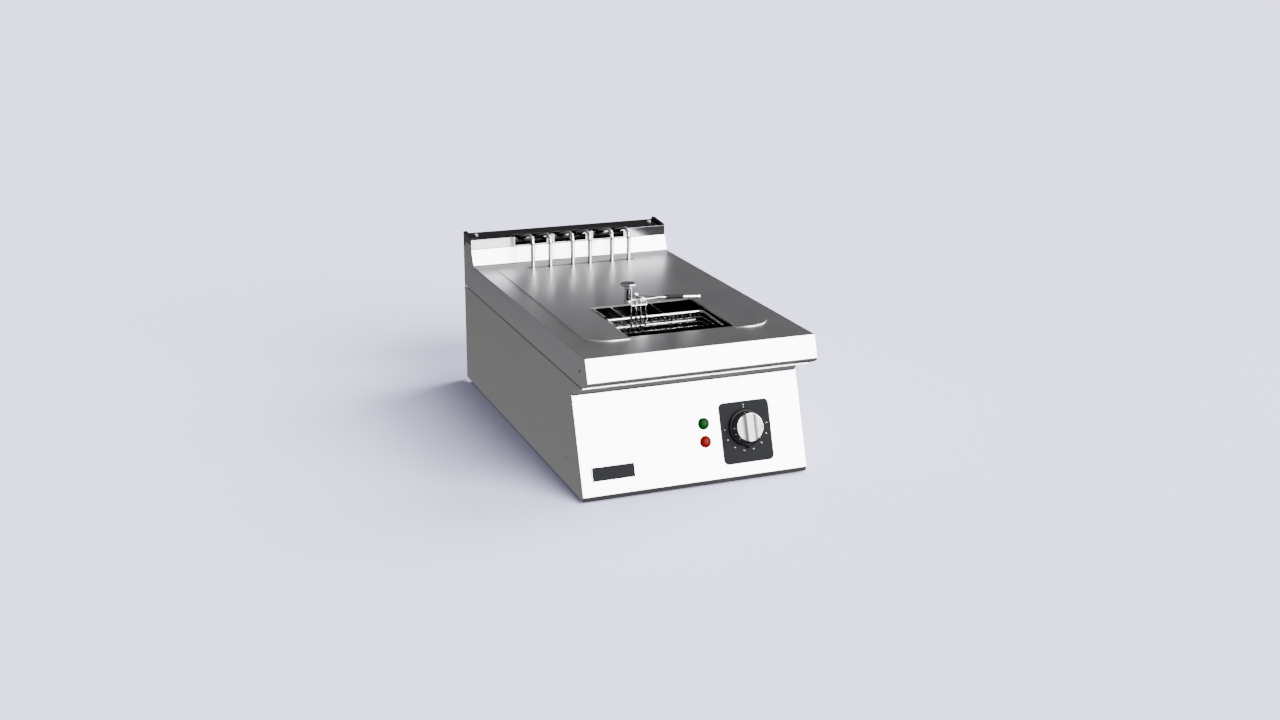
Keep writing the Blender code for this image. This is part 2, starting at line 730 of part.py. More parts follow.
def make_knob():
    """Thermostat knob: black skirt with its pointer lug, bright body with a grip, and spindle."""
    seat = panel_frame(KNOB_AT[0], KNOB_AT[1])
    ring = [
        (27.5, 5.0), (30.6, 4.4), (31.3, 2.0), (31.0, 1.8), (24.0, 1.8), (24.0, 5.0), (27.5, 5.0),
    ]
    skirt = turned("knob_skirt", ring, seat, 40)
    lug_line = [(-5.0, 30.0), (5.0, 30.0), (1.4, 35.4), (-1.4, 35.4)]
    lug = flat(
        "knob_lug", [[(u, -v) for u, v in lug_line][::-1]], 2.4,
        seat @ Matrix.Translation((0, 0, 3.2 * MM)), True,
    )
    combine(skirt, "UNION", [lug])
    plastic(skirt, (0.012, 0.012, 0.012))

    profile = [
        (0, 22.6), (22.8, 22.6), (24.0, 21.4), (27.2, 5.6), (23.7, 5.3), (23.7, 2.4), (4.2, 2.4),
        (4.2, 15.0), (0, 15.0),
    ]
    knob = turned("knob", profile, seat, 48)
    scoops = []
    for tag, sign in (("left", -1), ("right", 1)):
        matrix = seat @ Matrix.Translation((sign * 17.0 * MM, 0, 42.0 * MM))
        turn = matrix @ Matrix.Rotation(math.radians(90), 4, "X")
        scoop = disc("knob_scoop_" + tag, 22.0, -40, 40, turn, 64, True)
        scoops.append(scoop)
    combine(knob, "DIFFERENCE", scoops)
    chrome(knob)
    spindle = disc("knob_spindle", 3.0, -3.7, 14.6, seat, 16)
    smooth(spindle)
    galvanised(spindle)


# ---------------------------------------------------------------- basket

def make_basket():
    """Basket: its wire mesh as a thin open box, with a rim rod and a second rod along the back."""
    half = RIM_HALF - ROD - 0.6
    near = RIM_FRONT + ROD + 0.5
    far = PIVOT_D - BRACKET_WIRE - GAP
    wall = 1.2
    slope = (RIM_H - RIM_FRONT_H) / (RIM_BACK - RIM_FRONT)

    def rim_height(d):
        return RIM_FRONT_H + (d - RIM_FRONT) * slope

    near_high = rim_height(near) - ROD - GAP
    far_high = rim_height(far) - ROD - GAP
    outline = [(near, BASKET_FLOOR), (far, BASKET_FLOOR), (far, far_high), (near, near_high)]
    shell = side_profile("basket_mesh", outline, -half, half)
    inside = box(
        "basket_inside", (-half + wall, near + wall, BASKET_FLOOR + wall),
        (half - wall, far - wall, RIM_H + 10), True,
    )
    combine(shell, "DIFFERENCE", [inside])
    chrome(shell)

    outline = round_rect(-RIM_HALF, RIM_HALF, RIM_FRONT, RIM_BACK, 9.0, 5)
    rim = rod("basket_rim", [(x, d, rim_height(d)) for x, d in outline], ROD, cyclic=True)
    smooth(rim)
    chrome(rim)
    low_h = RIM_H - 15.0
    bar = rod("basket_back_rod", [(-78, RIM_BACK, low_h), (78, RIM_BACK, low_h)], ROD)
    smooth(bar)
    chrome(bar)


def make_bracket():
    """Four upright wires inside the back rods, tied by two cross rods under the pivot rod."""
    wire = BRACKET_WIRE
    low = RIM_H - 16.5
    high = PIVOT_H - 3.0
    first = PIVOT_X - 13.0
    last = PIVOT_X + 13.0
    bracket = rod("basket_bracket", [(first, PIVOT_D, low), (first, PIVOT_D, high)], wire)
    pieces = []
    for i in range(1, 4):
        x = first + (last - first) * i / 3
        line = [(x, PIVOT_D, low), (x, PIVOT_D, high)]
        pieces.append(rod(f"bracket_wire_{i}", line, wire, cutter=True))
    for tag, d, h in (("top", PIVOT_D, PIVOT_H - 3.4), ("tie", PIVOT_D - 1.6, PIVOT_H - 13.0)):
        line = [(first - 2, d, h), (last + 2, d, h)]
        pieces.append(rod("bracket_" + tag, line, wire, cutter=True))
    line = [(PIVOT_X, PIVOT_D - 20, PIVOT_H), (PIVOT_X, PIVOT_D + 20, PIVOT_H)]
    pieces.append(rod("bracket_pivot", line, 2.0, cutter=True))
    low_corner = (PIVOT_X - 2, PIVOT_D - 3, PIVOT_H - 4)
    high_corner = (PIVOT_X + 2, PIVOT_D + 3, PIVOT_H + 0.5)
    pieces.append(box("bracket_lug", low_corner, high_corner, True))
    combine(bracket, "UNION", pieces)
    chrome(bracket)


def make_handle():
    """Folding handle: two wires closing to one stem, a dark grip and a bright end sleeve."""
    matrix = frame(
        place(PIVOT_X, PIVOT_D, PIVOT_H),
        Vector((math.cos(HANDLE_DROOP), 0, -math.sin(HANDLE_DROOP))),
        Vector((0, 1, 0)),
    )

    def local(u, v, w=0.0):
        return unplace(matrix @ (Vector((u, v, w)) * MM))

    eye_at = 15.5
    eye_line = [(2.4, 2.5), (4.6, 2.5), (4.6, -2.5), (2.4, -2.5), (2.4, 2.5)]
    eyes = []
    for tag, sign in (("front", -1), ("back", 1)):
        at = matrix @ Matrix.Translation((0, sign * eye_at * MM, 0))
        turn = at @ Matrix.Rotation(math.radians(90), 4, "X")
        eyes.append(turned("handle_eye_" + tag, eye_line, turn, 20, sign > 0))
    handle = eyes[0]
    handle.name = "basket_handle"
    pieces = [eyes[1]]
    for tag, sign in (("front", -1), ("back", 1)):
        line = [local(3.4, sign * eye_at), local(40.0, sign * 2.0), local(48.0, sign * 1.2)]
        pieces.append(rod("handle_wire_" + tag, line, 1.5, cutter=True))
    stem = [local(42.0, 0), local(HANDLE_REACH - 8, 0)]
    pieces.append(rod("handle_stem", stem, 1.7, cutter=True))
    combine(handle, "UNION", pieces)
    chrome(handle)

    across = matrix @ Matrix.Rotation(math.radians(90), 4, "Y")
    bore = 1.7 + GAP
    grip_line = [
        (bore, 81.0), (2.9, 81.0), (3.5, 79.5), (3.6, 50.5), (2.9, 49.0), (bore, 49.0),
        (bore, 81.0),
    ]
    grip = turned("handle_grip", grip_line, across, 16)
    smooth(grip)
    plastic(grip, (0.015, 0.015, 0.015))
    end = HANDLE_REACH
    sleeve_line = [
        (0, end), (2.4, end), (3.0, end - 1.5), (3.0, 81.3), (bore, 81.3), (bore, end - 6),
        (0, end - 6),
    ]
    sleeve = turned("handle_sleeve", sleeve_line, across, 16)
    smooth(sleeve)
    chrome(sleeve)


def make_post():
    """Mushroom-headed post behind the well."""
    profile = [
        (0, 34.2), (13.0, 34.2), (14.2, 33.4), (14.2, 31.0), (12.4, 29.2), (8.0, 27.6), (6.6, 25.4),
        (6.5, 3.0), (8.0, 2.0), (8.0, 0), (0, 0),
    ]
    post = turned("hanger_post", profile, upright_frame(-17.5, 285.0, TOP + PLATE_RISE + GAP), 28)
    smooth(post)
    chrome(post)


make_worktop()
make_upstand()
make_flue_cover()
make_sides()
make_front_panel()
make_front_rail()
make_base_and_back()
make_feet()
make_tank()
make_elements()
make_element_heads()
make_tank_grid()
make_thermostat()
make_electrics()
make_lamps()
make_plates()
make_knob()
make_basket()
make_bracket()
make_handle()
make_post()
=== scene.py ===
# %% [markdown]
# # A countertop deep fryer, finished for the eye
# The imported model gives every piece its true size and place. This script keeps that frame still and
# adds what the eye reads as real: rolled sheet edges, round wires, moulded and brushed surfaces.
# Each step first says what the piece is on the real fryer and why it is made this way here.

# %% load the frame
import math

import bmesh
import bpy
import numpy as np
from mathutils import Matrix, Vector


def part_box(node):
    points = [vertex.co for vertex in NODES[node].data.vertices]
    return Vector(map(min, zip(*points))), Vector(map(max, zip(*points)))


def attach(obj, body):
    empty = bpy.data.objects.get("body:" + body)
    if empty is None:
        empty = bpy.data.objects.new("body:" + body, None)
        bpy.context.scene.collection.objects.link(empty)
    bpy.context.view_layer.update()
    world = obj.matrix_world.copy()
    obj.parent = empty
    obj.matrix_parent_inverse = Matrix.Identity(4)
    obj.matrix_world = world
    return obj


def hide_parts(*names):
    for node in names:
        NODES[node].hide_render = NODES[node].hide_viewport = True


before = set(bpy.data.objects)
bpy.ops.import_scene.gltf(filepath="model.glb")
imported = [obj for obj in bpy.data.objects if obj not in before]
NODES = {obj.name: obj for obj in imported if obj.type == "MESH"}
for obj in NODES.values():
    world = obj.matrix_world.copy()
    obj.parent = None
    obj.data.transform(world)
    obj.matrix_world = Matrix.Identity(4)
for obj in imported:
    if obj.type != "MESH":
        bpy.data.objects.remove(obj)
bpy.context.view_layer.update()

MM = 0.001

# %% [markdown]
# ## Where things are
# A fitter measures this fryer from three places: the middle plane (x), the worktop's front edge (d,
# going back) and the casing's bottom edge (h, going up), all in millimetres. One function turns such
# places to metres in the frame. Reading the two reference edges from the CAD boxes keeps them true.

# %% places in millimetres
NOSE = 13.2  # the worktop's nose leans this far out in front of its top edge
PLATE_TOP = 1.8  # the raised plate round the well, with the fitting gap above it
EDGE_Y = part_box("worktop")[0].y + NOSE * MM
CASING_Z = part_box("side_panel_left")[0].z - 0.4 * MM
TOP = 242.6


def place(x, d, h):
    """Millimetre places, numbers or arrays, as points in metres."""
    x, d, h = np.broadcast_arrays(x, d, h)
    return np.stack([x * MM, EDGE_Y + d * MM, CASING_Z + h * MM], axis=-1)


def seat(origin, across, upward):
    """A 4x4 matrix whose local X is across, Y is upward and Z their cross product."""
    made = np.eye(4)
    made[:3, 0] = across
    made[:3, 1] = upward
    made[:3, 2] = np.cross(across, upward)
    made[:3, 3] = origin
    return made


def on(matrix, local):
    """Points given in a seat's own millimetres, as points in metres."""
    return np.asarray(local, float) * MM @ matrix[:3, :3].T + matrix[:3, 3]


PANEL_FOOT = (9.3, 6.6)
PANEL_HEAD = (63.2, 162.7)
PANEL_LEAN = math.atan2(PANEL_HEAD[0] - PANEL_FOOT[0], PANEL_HEAD[1] - PANEL_FOOT[1])
PANEL_UP = np.array([0, math.sin(PANEL_LEAN), math.cos(PANEL_LEAN)])


def panel_seat(x, s):
    """On the leaning front panel, s up from its lower corner. Local Z points out of the panel."""
    return seat(place(x, *PANEL_FOOT) + PANEL_UP * s * MM, (1, 0, 0), PANEL_UP)


def rear_seat(x, d, h):
    """On the rear panel, with local Z pointing backwards."""
    return seat(place(x, d, h), (-1, 0, 0), (0, 0, 1))


def upright_seat(x, d, h):
    """Standing at a place, with local Z pointing up."""
    return seat(place(x, d, h), (1, 0, 0), (0, 1, 0))


print("panel leans", round(math.degrees(PANEL_LEAN), 2), "degrees")

# %% [markdown]
# ## Colours and nodes
# A colour is written as the sRGB hex that a paint chart would give, and one function turns it to the
# linear values that light is added up in. A material is a small chain of nodes, and one function adds
# a node with its settings, the numbers on its sockets, and the links into it.

# %% colour and node helpers
def linear(code):
    """sRGB hex such as 'c8c9cb' as linear red, green, blue and alpha: ((c + 0.055) / 1.055) ^ 2.4."""
    c = np.array([int(code[i:i + 2], 16) for i in (0, 2, 4)]) / 255
    low = c / 12.92
    high = ((c + 0.055) / 1.055) ** 2.4
    return (*np.where(c <= 0.04045, low, high).tolist(), 1.0)


def add(tree, kind, values=None, links=None, **settings):
    """Adds a node: settings are its properties, values its sockets' numbers, links (node, output)."""
    made = tree.nodes.new("ShaderNode" + kind)
    for key, value in settings.items():
        setattr(made, key, value)
    for key, value in (values or {}).items():
        made.inputs[key].default_value = value
    for key, (source, output) in (links or {}).items():
        tree.links.new(source.outputs[output], made.inputs[key])
    return made


def blank(name):
    """A new material with only its output node."""
    look = bpy.data.materials.new(name)
    look.use_nodes = True
    look.node_tree.nodes.clear()
    return look, look.node_tree


def surface(name, tones, rough, metallic, patch_mm, grain_mm, bump_mm, detail=3.0, **shader):
    """One finish: two tones mixed in patches, and a grain that moves roughness and height.

    Object coordinates are metres, so a pattern of size s millimetres needs a scale of 1000 / s.
    grain_mm is the grain's size along x, y and z; a long size beside two short ones is a brushed line.
    """
    look, tree = blank(name)
    where = add(tree, "TexCoord")
    patch = add(tree, "TexNoise", {"Scale": 1000 / patch_mm, "Detail": 3.0}, {"Vector": (where, "Object")})
    mix = add(tree, "Mix", {6: linear(tones[0]), 7: linear(tones[1])}, {0: (patch, 0)}, data_type="RGBA")
    scale = [1000 / g for g in grain_mm]
    turn = add(tree, "Mapping", {"Scale": scale}, {"Vector": (where, "Object")})
    grain = add(tree, "TexNoise", {"Scale": 1.0, "Detail": detail}, {"Vector": (turn, 0)})
    both = add(tree, "Math", {1: 0.35}, {0: (patch, 0)}, operation="MULTIPLY")
    blend = add(tree, "Math", {1: 0.65}, {0: (grain, 0), 2: (both, 0)}, operation="MULTIPLY_ADD")
    spread = add(
        tree, "MapRange", {1: 0.3, 2: 0.7, 3: rough[0], 4: rough[1]}, {0: (blend, 0)}
    )
    bump = add(
        tree, "Bump", {"Strength": 1.0, "Distance": bump_mm * MM}, {"Height": (grain, 0)}
    )
    skin_node = add(
        tree, "BsdfPrincipled", {"Metallic": metallic, **shader},
        {"Base Color": (mix, 2), "Roughness": (spread, 0), "Normal": (bump, 0)},
    )
    add(tree, "OutputMaterial", None, {"Surface": (skin_node, 0)})
    return look


print("helpers ready; mid grey is", round(linear("808080")[0], 4))

# %% [markdown]
# ## Satin stainless steel
# The casing is AISI 304 sheet, ground with a fine belt so that hair-fine lines run one way. Light
# spreads across those lines and stays narrow along them, which is what stretches reflections. The
# shader's anisotropy does that for lines far finer than the render can show, and a coarser streak of
# about a millimetre carries the visible brushing. The sheet is bright, so its tone is a pale grey; the
# vent band is smoother, and its tone is painted darker as painted shade for the dim worktop it mirrors.

# %% satin steels
def satin_steel(name, tones, rough, grain_mm, anisotropy, bump_mm=0.0012):
    """Brushed sheet. Its tangent runs along x, or along y on faces that look sideways."""
    look = surface(
        name, tones, rough, 1.0, 90, grain_mm, bump_mm, 2.0, **{"Anisotropic": anisotropy}
    )
    tree = look.node_tree
    shader = next(n for n in tree.nodes if n.type == "BSDF_PRINCIPLED")
    facing = add(tree, "NewGeometry")
    parts = add(tree, "SeparateXYZ", None, {0: (facing, "True Normal")})
    size = add(tree, "Math", None, {0: (parts, "X")}, operation="ABSOLUTE")
    sideways = add(tree, "Math", {1: 0.7}, {0: (size, 0)}, operation="GREATER_THAN")
    line = add(
        tree, "Mix", {4: (1, 0, 0), 5: (0, 1, 0)}, {0: (sideways, 0)}, data_type="VECTOR"
    )
    tree.links.new(line.outputs[1], shader.inputs["Tangent"])
    return look


ACROSS_GRAIN = (70, 1.3, 1.3)
worktop_steel = satin_steel("satin_304_worktop", ("b9b9bb", "c6c6c8"), (0.29, 0.35), ACROSS_GRAIN, 0.5)
panel_steel = satin_steel("satin_304_panels", ("b6b6b8", "c4c4c6"), (0.26, 0.34), ACROSS_GRAIN, 0.4)
# Painted shade: a dark copy of the satin steel for the faces that look down under the nose and the hem.
underside_steel_painted_shade = satin_steel("underside_painted_shade", ("5c5c5e", "68686a"), (0.42, 0.5), ACROSS_GRAIN, 0.0)
side_steel = satin_steel("satin_304_sides", ("b7b7b6", "c4c4c2"), (0.30, 0.40), (1.3, 60, 1.3), 0.4)
# Painted shade: the vent band's tones are darker than the other sheets' to stand for the dim worktop it
# mirrors.
band_steel_painted_shade = satin_steel("satin_304_band_painted_shade", ("7c7c80", "88888b"), (0.10, 0.16), ACROSS_GRAIN, 0.3)

# %% [markdown]
# ## The other metals
# Tube and wire are bright-drawn and polished, so they mirror the room in thin lines. Hot-dip zinc
# freezes in leafy crystals, which is a cell pattern, not a noise. The knob is chrome on plastic with a
# satin face. Brass and copper show only at the small fittings. The fry tank's inside is steel painted
# brown-black, as painted shade for the dark well.

# %% bright, dark and coloured metals
FINE = (2.0, 2.0, 2.0)
wire_steel = surface("drawn_wire_steel", ("c4c4c6", "d6d6d8"), (0.10, 0.20), 1.0, 12, FINE, 0.004)
element_steel = surface("polished_element_tube", ("bdbdbf", "d2d2d3"), (0.09, 0.17), 1.0, 18, FINE, 0.004)
post_steel = surface("polished_post", ("c6c6c8", "d4d4d6"), (0.05, 0.10), 1.0, 15, FINE, 0.002)
chrome = surface("chrome_plate", ("d8d9db", "e4e5e7"), (0.05, 0.09), 1.0, 10, FINE, 0.002)
satin_face = surface("satin_chrome_face", ("6a6a6b", "767677"), (0.34, 0.42), 1.0, 14, (0.6, 9, 9), 0.006)
# Painted shade: the tank's inside is near black to stand for the shade deep in the well.
well_steel_painted_shade = surface("tank_steel_painted_shade", ("0c0a09", "1b1815"), (0.25, 0.45), 1.0, 60, (6, 6, 6), 0.02)
brass = surface("turned_brass", ("b08d4f", "c7a565"), (0.20, 0.32), 1.0, 6, (0.8, 0.8, 0.8), 0.01)
copper = surface("drawn_copper", ("b36a4b", "c9805e"), (0.22, 0.34), 1.0, 8, (1, 1, 1), 0.01)


def zinc(name):
    """Hot-dip galvanised sheet: crystals about 14 mm across, each a little lighter or duller."""
    look, tree = blank(name)
    where = add(tree, "TexCoord")
    wander = add(tree, "TexNoise", {"Scale": 90.0, "Detail": 2.0}, {"Vector": (where, "Object")})
    bent = add(
        tree, "VectorMath", {"Scale": 0.012}, {0: (wander, "Color")}, operation="SCALE"
    )
    moved = add(tree, "VectorMath", None, {0: (where, "Object"), 1: (bent, 0)}, operation="ADD")
    leaf = add(tree, "TexVoronoi", {"Scale": 1000 / 14}, {"Vector": (moved, 0)})
    shade = add(tree, "SeparateColor", None, {0: (leaf, "Color")})
    tone = add(
        tree, "Mix", {6: linear("8f9294"), 7: linear("b3b6b8")}, {0: (shade, 0)}, data_type="RGBA"
    )
    rough = add(tree, "MapRange", {3: 0.36, 4: 0.56}, {0: (shade, 1)})
    bump = add(tree, "Bump", {"Distance": 0.02 * MM}, {"Height": (leaf, "Distance")})
    shader = add(
        tree, "BsdfPrincipled", {"Metallic": 1.0},
        {"Base Color": (tone, 2), "Roughness": (rough, 0), "Normal": (bump, 0)},
    )
    add(tree, "OutputMaterial", None, {"Surface": (shader, 0)})
    return look


galvanised = zinc("hot_dip_zinc")
print("metals:", len(bpy.data.materials), "materials so far")

# %% [markdown]
# ## Enamel, plastics, ceramic and rubber
# The flue cover is fired black enamel: deep black with a slight orange peel. Dial plate and nameplate
# are satin black film. Grips, gland and skirt are moulded black plastic, grainier. The lamps are caps
# of deep green and red plastic. All of these face a very bright lamp, so their specular level is set
# low: at the usual level its mirror image would turn black to grey and red to pink.

# %% enamel and plastics
enamel = surface(
    "black_enamel_fired", ("030304", "060607"), (0.10, 0.18), 0.0, 40, (5, 5, 5), 0.03,
    **{"Specular IOR Level": 0.12},
)
black_plastic = surface(
    "moulded_black_nylon", ("080808", "101010"), (0.40, 0.52), 0.0, 8, (0.7, 0.7, 0.7), 0.02,
    **{"Specular IOR Level": 0.1},
)
skirt_plastic = surface(
    "moulded_black_gloss", ("040404", "080808"), (0.22, 0.32), 0.0, 8, FINE, 0.006,
    **{"Specular IOR Level": 0.05},
)
plate_black = surface(
    "satin_black_film", ("0e0f11", "141517"), (0.46, 0.56), 0.0, 12, (0.9, 0.9, 0.9), 0.006,
    **{"Specular IOR Level": 0.03},
)
pale_plastic = surface(
    "moulded_grey_plastic", ("b3b3ae", "c0c0ba"), (0.42, 0.55), 0.0, 10, (0.8, 0.8, 0.8), 0.02
)
red_plastic = surface(
    "moulded_red_plastic", ("8c1411", "a01b15"), (0.34, 0.46), 0.0, 6, (0.7, 0.7, 0.7), 0.02
)
ceramic = surface("steatite_ceramic", ("cfc9bb", "dcd6c8"), (0.38, 0.5), 0.0, 9, (0.6, 0.6, 0.6), 0.03)
rubber = surface("foot_rubber", ("111111", "1b1b1b"), (0.6, 0.75), 0.0, 7, (0.8, 0.8, 0.8), 0.04)
ink = surface("printed_white_ink", ("d9d9d6", "e6e6e3"), (0.5, 0.6), 0.0, 2, (0.3, 0.3, 0.3), 0.002)
green_cap = surface(
    "green_lamp_plastic", ("001f02", "002c05"), (0.20, 0.32), 0.0, 3.4, (1.4, 1.4, 1.4), 0.03,
    **{"Specular IOR Level": 0.05},
)
red_cap = surface(
    "red_lamp_plastic", ("430200", "5a0400"), (0.20, 0.32), 0.0, 3.4, (1.4, 1.4, 1.4), 0.03,
    **{"Specular IOR Level": 0.05},
)
print("materials:", len(bpy.data.materials))

# %% [markdown]
# ## Making a surface from a grid
# Nearly every turned or bent piece is a grid of points: one way round, one way along. Worked out as
# whole arrays, a thousand points cost no more lines than ten. Faces come from the grid's own order,
# poles are merged, and the normals are then made to face out.

# %% grid skins
def grid_faces(count, rows, cols, close_rows, caps):
    """Quads of count grids, each rows by cols and closed round its columns, with end caps if asked."""
    i, j = np.meshgrid(np.arange(rows if close_rows else rows - 1), np.arange(cols), indexing="ij")
    after_i = (i + 1) % rows
    after_j = (j + 1) % cols
    quad = np.stack([i * cols + j, i * cols + after_j, after_i * cols + after_j, after_i * cols + j], -1)
    start = np.arange(count)[:, None, None] * rows * cols
    faces = (quad.reshape(1, -1, 4) + start).reshape(-1, 4).tolist()
    if caps:
        ring = np.arange(cols)
        first = ring[::-1] + start[:, :, 0]
        last = ring + (rows - 1) * cols + start[:, :, 0]
        faces += first.tolist() + last.tolist()
    return faces


def piece(name, points, faces, body, slot, finish, replaces=(), sharp=38):
    """A mesh from points and faces: merged, facing out, smooth but for edges sharper than sharp."""
    mesh = bpy.data.meshes.new(name)
    mesh.from_pydata(np.asarray(points).reshape(-1, 3).tolist(), [], faces)
    shape = bmesh.new()
    shape.from_mesh(mesh)
    bmesh.ops.remove_doubles(shape, verts=shape.verts, dist=1e-7)
    bmesh.ops.recalc_face_normals(shape, faces=shape.faces)
    shape.to_mesh(mesh)
    shape.free()
    mesh.shade_smooth()
    mesh.set_sharp_from_angle(angle=math.radians(sharp))
    mesh.materials.append(finish)
    made = bpy.data.objects.new(name, mesh)
    bpy.context.scene.collection.objects.link(made)
    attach(made, body)
    if replaces:
        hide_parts(*replaces)
    print(f"{name}: {sum(len(p.vertices) - 2 for p in mesh.polygons)} triangles")
    return made


def soften(points, cut, steps=5):
    """Swaps each inner corner for the curve (1-t)^2 a + 2t(1-t) corner + t^2 b, from cut before it
    to cut after it, or less where the next corner is close."""
    p = np.asarray(points, float)
    corner = p[1:-1]
    before = p[:-2] - corner
    after = p[2:] - corner
    long_b = np.linalg.norm(before, axis=1, keepdims=True)
    long_a = np.linalg.norm(after, axis=1, keepdims=True)
    a = (corner + before / long_b * np.minimum(cut, 0.49 * long_b))[:, None]
    b = (corner + after / long_a * np.minimum(cut, 0.49 * long_a))[:, None]
    t = np.linspace(0, 1, steps)[None, :, None]
    bends = (1 - t) ** 2 * a + 2 * t * (1 - t) * corner[:, None] + t ** 2 * b
    return np.concatenate([p[:1], bends.reshape(-1, p.shape[1]), p[-1:]])


def even(points, step):
    """The same line with points about step apart, read off along its length."""
    p = np.asarray(points, float)
    gaps = np.linalg.norm(np.diff(p, axis=0), axis=1)
    p = p[np.concatenate([[True], gaps > 1e-9])]
    run = np.concatenate([[0], np.cumsum(np.linalg.norm(np.diff(p, axis=0), axis=1))])
    at = np.linspace(0, run[-1], max(2, round(run[-1] / step) + 1))
    return np.stack([np.interp(at, run, p[:, k]) for k in range(p.shape[1])], axis=-1)


def tube(paths, radius, sideways, sides=14, closed=False):
    """Round tubes along paths of points in millimetres [tube, point, xyz]: each ring is
    centre + radius (cos a sideways + sin a (along x sideways)). sideways is never along the path."""
    paths = np.asarray(paths, float)
    if paths.ndim == 2:
        paths = paths[None]
    if closed:
        along = np.roll(paths, -1, axis=1) - np.roll(paths, 1, axis=1)
    else:
        along = np.gradient(paths, axis=1)
    along = along / np.linalg.norm(along, axis=-1, keepdims=True)
    side = np.broadcast_to(np.asarray(sideways, float), paths.shape)
    side = side - (side * along).sum(-1, keepdims=True) * along
    side = side / np.linalg.norm(side, axis=-1, keepdims=True)
    other = np.cross(along, side)
    a = np.linspace(0, 2 * np.pi, sides, endpoint=False)[None, None, :, None]
    wide = np.broadcast_to(np.asarray(radius, float), paths.shape[:2])[..., None, None]
    rings = paths[:, :, None] + wide * (np.cos(a) * side[:, :, None] + np.sin(a) * other[:, :, None])
    count, rows = paths.shape[:2]
    points = place(rings[..., 0], rings[..., 1], rings[..., 2])
    return points.reshape(-1, 3), grid_faces(count, rows, sides, closed, not closed)


def together(*shapes):
    """Several (points, faces) shapes as one."""
    points, faces, start = [], [], 0
    for p, f in shapes:
        points.append(p)
        faces += [[i + start for i in face] for face in f]
        start += len(p)
    return np.concatenate(points), faces


def turned(matrix, profile, steps=48, spread=None):
    """A (radius, height) profile turned about a seat's Z. spread(angle, radius, height) may change
    the radius round the turn, for hexagons, ribs and lugs."""
    profile = np.asarray(profile, float)
    a = np.linspace(0, 2 * np.pi, steps, endpoint=False)[None]
    r = np.broadcast_to(profile[:, :1], (len(profile), steps))
    z = np.broadcast_to(profile[:, 1:], r.shape)
    if spread is not None:
        r = spread(np.broadcast_to(a, r.shape), r, z)
    points = on(matrix, np.stack([r * np.cos(a), r * np.sin(a), z], axis=-1))
    return points.reshape(-1, 3), grid_faces(1, len(profile), steps, False, False)


# %% [markdown]
# ## Sheet metal with rolled edges
# A folded or pressed sheet never has a knife edge: its bend has a radius, and that thin curve catches
# a line of light. The CAD sheets have the right flats and holes, so a copy of each is merged, its flat
# triangles joined, and its long sharp edges rolled over. Short edges round small holes are left. Faces
# that look down under a fold are given a darker copy of the steel, as painted shade.

# %% rolled sheet edges
def rolled(name, node, width_mm, body, finish, shortest_mm=4.0, segments=4):
    """A copy of a CAD sheet whose sharp edges, at least shortest_mm long, are rolled to width_mm."""
    mesh = NODES[node].data.copy()
    mesh.name = name
    shape = bmesh.new()
    shape.from_mesh(mesh)
    bmesh.ops.remove_doubles(shape, verts=shape.verts, dist=2e-6)
    bmesh.ops.dissolve_limit(shape, angle_limit=math.radians(0.6), verts=shape.verts, edges=shape.edges)
    edges = [
        e for e in shape.edges
        if e.is_manifold and e.calc_face_angle() > math.radians(24) and e.calc_length() > shortest_mm * MM
    ]
    bmesh.ops.bevel(
        shape, geom=edges, offset=width_mm * MM, segments=segments, profile=0.5, affect="EDGES",
        clamp_overlap=False,
    )
    shape.to_mesh(mesh)
    shape.free()
    mesh.materials.clear()
    mesh.materials.append(finish)
    mesh.shade_smooth()
    mesh.set_sharp_from_angle(angle=math.radians(38))
    made = bpy.data.objects.new(name, mesh)
    bpy.context.scene.collection.objects.link(made)
    weight = made.modifiers.new("even_shading", "WEIGHTED_NORMAL")
    weight.keep_sharp = True
    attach(made, body)
    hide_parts(node)
    print(f"{name}: {len(edges)} edges rolled to {width_mm} mm")
    return made


def paint_shade_below(made, finish, lean, front_mm):
    """Gives the faces that look down, in front of front_mm, a second, darker material as painted shade."""
    made.data.materials.append(finish)
    count = len(made.data.polygons)
    normals, middles = np.zeros(count * 3), np.zeros(count * 3)
    made.data.polygons.foreach_get("normal", normals)
    made.data.polygons.foreach_get("center", middles)
    painted_shade_faces = (normals[2::3] < lean) & (middles[1::3] < place(0, front_mm, 0)[1])
    made.data.polygons.foreach_set("material_index", painted_shade_faces.astype(np.int32))
    print(f"{made.name}: {int(painted_shade_faces.sum())} faces given painted shade")


worktop_skin = rolled("worktop_pressed", "worktop", 0.7, "housing", worktop_steel)
# Painted shade on the worktop nose's underside and on the front panel's downward faces.
paint_shade_below(worktop_skin, underside_steel_painted_shade, -0.5, 40.0)
rolled("riser_folded", "riser_face", 0.35, "housing", panel_steel)
rolled("vent_band_cut", "vent_band", 0.3, "housing", band_steel_painted_shade)
rolled("flue_cover_enamelled", "flue_cover", 0.8, "housing", enamel, 2.5)
panel_skin = rolled("front_panel_folded", "front_panel", 0.4, "housing", panel_steel)
paint_shade_below(panel_skin, underside_steel_painted_shade, -0.2, 40.0)
rolled("dial_plate_film", "dial_plate", 0.25, "housing", plate_black, 2.0, 2)
rolled("nameplate_film", "nameplate", 0.25, "housing", plate_black, 2.0, 2)

# %% [markdown]
# ## Heating elements
# Each element is one sheathed tube bent as a hairpin: out of the head, over the crown, down through
# the slot, forward under the worktop, down into the well and back again. It is a circle carried along
# that line. Sideways stays along x on the straight legs and follows the turn's own radius at the front,
# so the skin never twists.

# %% heating elements
LEG_HALF = 17.4
TURN_D = 121.0


def bend(cx, cy, radius, start, end, steps=12):
    """Points on a circle, angles in degrees: centre + radius (cos a, sin a)."""
    a = np.radians(np.linspace(start, end, steps))
    return np.stack([cx + radius * np.cos(a), cy + radius * np.sin(a)], axis=-1)


